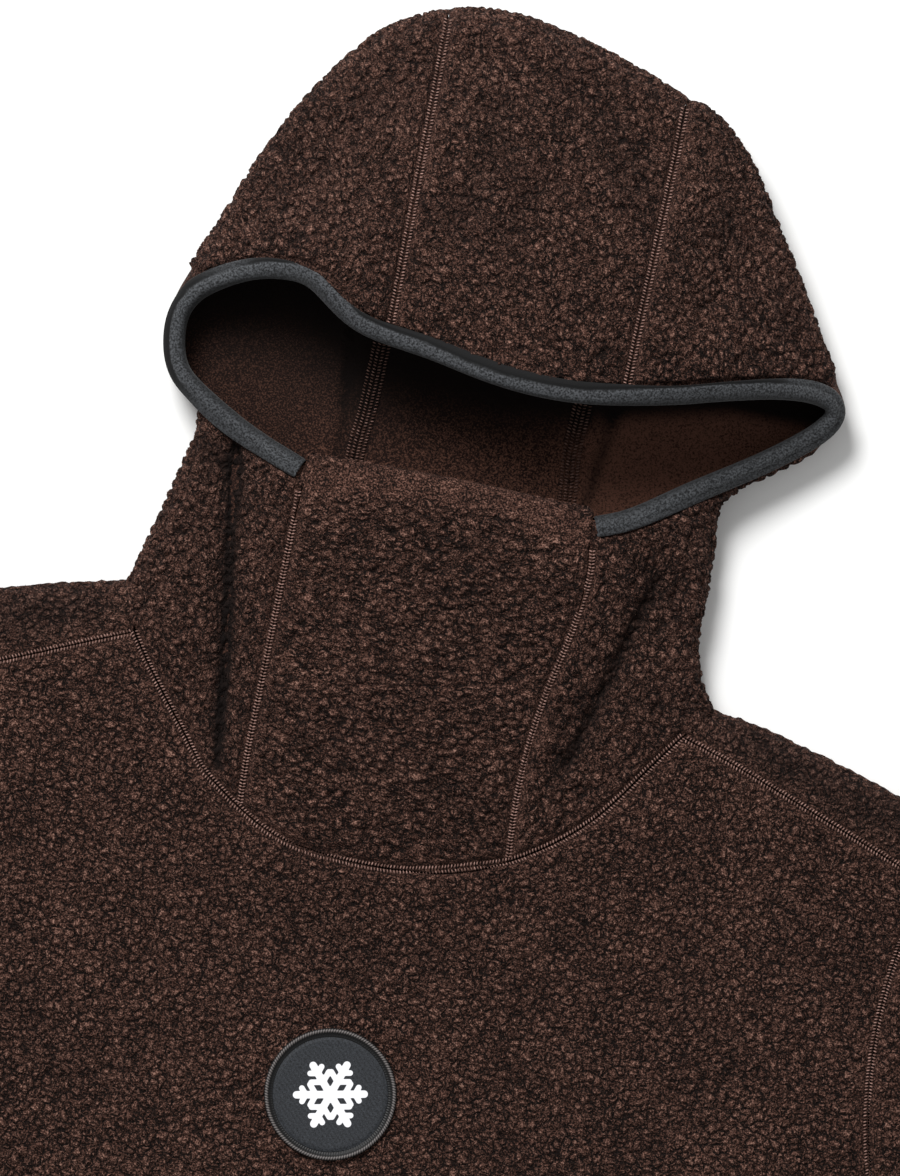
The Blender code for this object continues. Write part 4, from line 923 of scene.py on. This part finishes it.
def makePatch(look):
    tree = groundTree([nodes["body_front"].data])

    def levels(x, y):
        hits = [tree.ray_cast(atPlan(a, b, 60), Vector((0, 0, -1)))[0] for a, b in zip(x, y)]
        return np.array([hit.z / mm for hit in hits]) + 0.5

    fieldMaterial, rimMaterial = makePatchMaterials(look)
    # field: a square grid with an underside, drawn out so that the grid's edge is the circle
    count = int(2 * look["field"] / look["cell"])
    ticks = np.linspace(-look["field"], look["field"], count + 1)
    gridX, gridY = np.meshgrid(ticks, ticks, indexing="ij")
    u = gridX.ravel() / look["field"]
    v = gridY.ravel() / look["field"]
    x = u * np.sqrt(1 - v * v / 2) * look["field"]
    y = v * np.sqrt(1 - u * u / 2) * look["field"]
    ground = levels(x, y)
    radius = np.hypot(x, y)
    top = ground + 1.25 - 0.35 * smoothStep(look["field"] - 1.6, look["field"], radius)
    dx, dy = patchCentre
    points = [np.stack([x * mm + dx, y * mm + dy, top * mm], axis=1)]
    points.append(np.stack([x * mm + dx, y * mm + dy, (ground + 0.3) * mm], axis=1))
    first = len(x)
    row = count + 1
    i, j = np.meshgrid(np.arange(count), np.arange(count), indexing="ij")
    a = (i * row + j).ravel()
    faces = [np.stack([a, a + row, a + row + 1, a + 1], axis=1)]
    faces.append(faces[0][:, ::-1] + first)
    line = np.arange(count)
    walk = np.concatenate([line * row, count * row + line, (count - line) * row + count, count - line])
    onward = np.roll(walk, -1)
    faces.append(np.stack([onward, walk, walk + first, onward + first], axis=1))
    motif = np.concatenate([motifDistance(x, y), np.full(len(x), 9.0)])
    # rim: a ring of wrapped threads
    around = look["around"]
    angle = np.arange(around) * 2 * math.pi / around
    profile = look["rimSection"]
    middle = look["radius"] * 0.93
    base = levels(middle * np.cos(angle), middle * np.sin(angle))
    start = 2 * first
    rimPaintedLight = [np.zeros(start)]
    for k, (share, height) in enumerate(profile):
        phase = angle * look["threads"] + look["slant"] * k * 0.55
        ridge = np.abs(np.sin(phase / 2)) ** 0.8
        lifted = height - 0.32 * (1 - ridge) * (1.0 if 1 < k < 10 else 0.3)
        reach = look["radius"] * share - 0.18 * (1 - ridge) * (1 if k > 7 else 0)
        points.append(np.stack([reach * np.cos(angle) * mm + dx, reach * np.sin(angle) * mm + dy,
                                (base + lifted) * mm], axis=1))
        # painted light: the wraps' ridges and the rim's high parts are lighter, its low parts darker as
        # painted shade
        rimPaintedLight.append(np.clip((0.35 + 0.65 * ridge) * smoothStep(1.2, 2.4, np.full(around, height)), 0, 1))
    ring = np.arange(around)
    nextOne = (ring + 1) % around
    for k in range(len(profile)):
        m = (k + 1) % len(profile)
        low = start + k * around
        high = start + m * around
        faces.append(np.stack([low + ring, high + ring, high + nextOne, low + nextOne], axis=1)[:, ::-1])
    points = np.concatenate(points)
    faces = np.concatenate(faces)
    mesh = bpy.data.meshes.new("chestPatchWoven")
    mesh.from_pydata(points.tolist(), [], faces.tolist())
    mesh.update()
    addValues(mesh, "motif", np.concatenate([motif, np.full(len(points) - start, 9.0)]))
    addValues(mesh, "rimPaintedLight", np.concatenate(rimPaintedLight))
    piece = addPiece("chestPatchWoven", mesh, fieldMaterial)
    mesh.materials.append(rimMaterial)
    slots = np.zeros(len(faces), dtype=np.int32)
    slots[2 * count * count + 4 * count:] = 1
    mesh.polygons.foreach_set("material_index", slots)
    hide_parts("chest_patch")


makePatch(patchLook)
print("patch made")

# Spun polyester thread, twisted: dull, lighter than the pile. Two rows of slanted wraps run along each
# outer seam, four along the lining's.
stitchLook = {
    "pitch": 1.25, "thick": 0.26, "across": 0.68, "lean": 0.2, "arch": 0.45, "sink": 0.35,  # mm
    "dark": "#4a3128", "lit": "#ac887d",
    "twist": 0.7,                 # mm, drawn as coarse as it needs to show
    "finish": {"Roughness": 0.75, "IOR": 1.5, "Specular IOR Level": 0.25},
    # the seams in each group, and the rows' distance from the seam in mm
    "groups": {
        "neckStitching": (["neck"], 0.95),
        "crownStitching": (["crownLeft", "crownRight"], 1.0),
        "faceStitching": (["faceLeft", "faceRight"], 0.62),
        "shoulderStitching": (["shoulderLeft", "shoulderRight"], 0.85),
        "armholeStitching": (["armholeLeft", "armholeRight"], 0.85),
    },
    "liningRows": (-3.0, -1.0, 1.0, 3.0),
}


def makeThread(look):
    material, tree, shader = newMaterial("spunPolyesterThread", look["finish"])
    place = addNode(tree, "TexCoord").outputs["Object"]
    tone = addNode(tree, "Attribute", attribute_name="tone").outputs["Fac"]
    twist = addNode(tree, "TexNoise", {"Vector": place, "Scale": 1000 / look["twist"], "Detail": 2.0})
    level = addNode(tree, "Mix", {0: 0.4, 2: tone, 3: twist})
    colour = addNode(tree, "ValToRGB", {0: level}, [(0.15, look["dark"]), (0.85, look["lit"])])
    tree.links.new(colour.outputs[0], shader.inputs["Base Color"])
    return material


def evenLine(line, pitch):
    # a soft curve through the plan points, cut into even steps
    points = np.array(line, dtype=float)
    fine = []
    count = len(points)
    for i in range(count - 1):
        p0 = points[max(i - 1, 0)]
        p1, p2 = points[i], points[i + 1]
        p3 = points[min(i + 2, count - 1)]
        for t in np.linspace(0, 1, 12, endpoint=False):
            fine.append(0.5 * (2 * p1 + (p2 - p0) * t + (2 * p0 - 5 * p1 + 4 * p2 - p3) * t * t
                               + (3 * p1 - p0 - 3 * p2 + p3) * t ** 3))
    fine.append(points[-1])
    fine = np.array(fine)
    run = np.concatenate([[0], np.cumsum(np.linalg.norm(np.diff(fine, axis=0), axis=1))])
    steps = np.linspace(0, run[-1], int(run[-1] / pitch) + 1)
    return np.stack([np.interp(steps, run, fine[:, 0]), np.interp(steps, run, fine[:, 1])], axis=1)


def heightsOn(tree, line, top):
    # the cloth's height in mm along a line, evened out over seven steps
    found = []
    for x, y in line:
        hit = tree.ray_cast(atPlan(x, y, top), Vector((0, 0, -1)))[0]
        found.append(hit.z / mm if hit else np.nan)
    found = np.array(found)
    known = ~np.isnan(found)
    found = np.interp(np.arange(len(found)), np.nonzero(known)[0], found[known])
    kernel = np.ones(7) / 7
    return np.convolve(np.pad(found, 3, mode="edge"), kernel, mode="valid")


def threadMesh(name, paths, thick, tones):
    # each path is four points; each thread a closed four-sided tube with tapered ends
    count, steps = paths.shape[:2]
    sides = 4
    along = np.gradient(paths, axis=1)
    along /= np.linalg.norm(along, axis=2)[:, :, None]
    up = np.zeros_like(paths)
    up[:, :, 2] = 1.0
    aside = np.cross(along, up)
    aside /= np.maximum(np.linalg.norm(aside, axis=2), 1e-9)[:, :, None]
    up = np.cross(aside, along)
    taper = np.array([0.4, 1.0, 1.0, 0.4])
    rings = []
    for s in range(sides):
        turn = 2 * math.pi * s / sides
        rings.append(paths + thick * taper[None, :, None] * (aside * math.cos(turn) + up * math.sin(turn)))
    points = np.stack(rings, axis=2).reshape(-1, 3)
    base = np.arange(count)[:, None, None] * steps * sides
    k = np.arange(steps - 1)[None, :, None] * sides
    s = np.arange(sides)[None, None, :]
    n = (s + 1) % sides
    corners = [base + k + s, base + k + n, base + k + sides + n, base + k + sides + s]
    quads = np.stack(corners, axis=-1).reshape(-1, 4)
    ends = []
    for i in range(count):
        first = i * steps * sides
        ends.append(tuple(first + j for j in reversed(range(sides))))
        last = first + (steps - 1) * sides
        ends.append(tuple(last + j for j in range(sides)))
    mesh = bpy.data.meshes.new(name)
    mesh.from_pydata((points * mm).tolist(), [], quads.tolist() + ends)
    mesh.update()
    addValues(mesh, "tone", np.repeat(tones, steps * sides))
    return mesh


def seamPaths(line, tree, top, offsets, look, rng):
    # slanted wraps in rows beside the line; the rows lean towards each other
    paths = []
    tangent = np.gradient(line, axis=0)
    tangent /= np.linalg.norm(tangent, axis=1)[:, None]
    normal = np.stack([-tangent[:, 1], tangent[:, 0]], axis=1)
    for offset in offsets:
        sign = 1 if offset > 0 else -1
        heights = heightsOn(tree, line + normal * offset, top)
        jitter = rng.normal(0, 0.05, (len(line), 2))
        stack = []
        for share in (-1.0, -0.4, 0.4, 1.0):
            across = offset + look["across"] * share
            place = line + normal * across + tangent * (sign * look["lean"] * share) + jitter
            lift = heights + look["sink"] + look["arch"] * (1 - share * share) - 0.12
            stack.append(np.column_stack([place + np.array(patchCentre) / mm, lift]))
        paths.append(np.stack(stack, axis=1))
    return np.concatenate(paths)


def makeStitching(look):
    material = makeThread(look)
    rng = np.random.default_rng(7)
    upper = groundTree([piece.data for piece in fleece.values()])
    for name, (seams, row) in look["groups"].items():
        lines = [evenLine(seamLines[key], look["pitch"]) for key in seams]
        paths = np.concatenate([seamPaths(line, upper, 70, (-row, row), look, rng) for line in lines])
        tones = np.clip(rng.normal(0.5, 0.2, len(paths)), 0, 1)
        addPiece(name, threadMesh(name, paths, look["thick"], tones), material)
    lines = [evenLine(line, look["pitch"]) for line in innerSeamLines.values()]
    paths = np.concatenate([seamPaths(line, upper, 12, look["liningRows"], look, rng) for line in lines])
    tones = np.clip(rng.normal(0.12, 0.12, len(paths)), 0, 1)
    addPiece("liningStitching", threadMesh("liningStitching", paths, look["thick"], tones), material)


makeStitching(stitchLook)
print("stitching made")

# The turned-in seam edges of the crown, which close the joints between the panels. Sizes in mm.
allowanceLook = {
    "seams": ["crownLeft", "crownRight"], "step": 0.5, "half": 0.55, "below": 0.5, "deep": 3.0, "reach": 1.2,
}


def makeAllowances(look):
    tree = groundTree([piece.data for piece in fleece.values()])
    shape = bmesh.new()
    for key in look["seams"]:
        line = evenLine(seamLines[key], look["step"])
        rows = []
        for x, y in line:
            sides = (-look["reach"], look["reach"])
            hits = [tree.ray_cast(atPlan(x + side, y, 70), Vector((0, 0, -1)))[0] for side in sides]
            if None in hits:
                continue
            top = min(hit.z / mm for hit in hits) - look["below"]
            corners = [(-look["half"], top), (look["half"], top), (look["half"], top - look["deep"]),
                       (-look["half"], top - look["deep"])]
            rows.append([shape.verts.new(atPlan(x + side, y, z)) for side, z in corners])
        for first, second in zip(rows, rows[1:]):
            for i in range(4):
                shape.faces.new((first[i], first[i - 1], second[i - 1], second[i]))
        shape.faces.new(rows[0])
        shape.faces.new(reversed(rows[-1]))
    mesh = bpy.data.meshes.new("crownSeamAllowance")
    shape.to_mesh(mesh)
    shape.free()
    addPiece("crownSeamAllowance", mesh, sherpa["Hood"])


makeAllowances(allowanceLook)
print("seam edges made")

# A pale floor of seamless paper, matt and even, under a soft sun and a window near the crown.
studioLook = {
    "floorSize": 24.0,                 # metres
    "world": "#ffffff", "worldStrength": 0.44,
    "floorFinish": {"Base Color": hexToLinear("#f4f4f3"), "Roughness": 0.9},
    "aim": (0, 0.25, 0), "place": (-0.70, 1.26, 1.30),
    "sun": 1.85, "spread": 22,         # watts a square metre, and degrees
    "key": 23.0, "keySize": 0.9,       # watts, and metres
}


def makeStudio(look):
    material = newMaterial("mattPaper", look["floorFinish"])[0]
    shape = bmesh.new()
    bmesh.ops.create_grid(shape, x_segments=8, y_segments=8, size=look["floorSize"] / 2)
    mesh = bpy.data.meshes.new("floor")
    shape.to_mesh(mesh)
    shape.free()
    mesh.materials.append(material)
    floor = addObject("floor", mesh)
    floor.location = (0, 0, -0.1 * mm)
    world = bpy.data.worlds.new("studio")
    world.use_nodes = True
    background = world.node_tree.nodes["Background"]
    background.inputs["Color"].default_value = hexToLinear(look["world"])
    background.inputs["Strength"].default_value = look["worldStrength"]
    bpy.context.scene.world = world
    sun = bpy.data.lights.new("softSun", "SUN")
    sun.energy = look["sun"]
    sun.angle = math.radians(look["spread"])
    window = bpy.data.lights.new("window", "AREA")
    window.shape = "SQUARE"
    window.size = look["keySize"]
    window.energy = look["key"]
    for light in (sun, window):
        lamp = addObject(light.name, light)
        lamp.location = look["place"]
        away = Vector(look["place"]) - Vector(look["aim"])
        lamp.rotation_euler = away.to_track_quat("Z", "Y").to_euler()
        lamp.visible_camera = False
    bpy.context.scene.view_settings.view_transform = "Standard"


makeStudio(studioLook)
print("studio made")
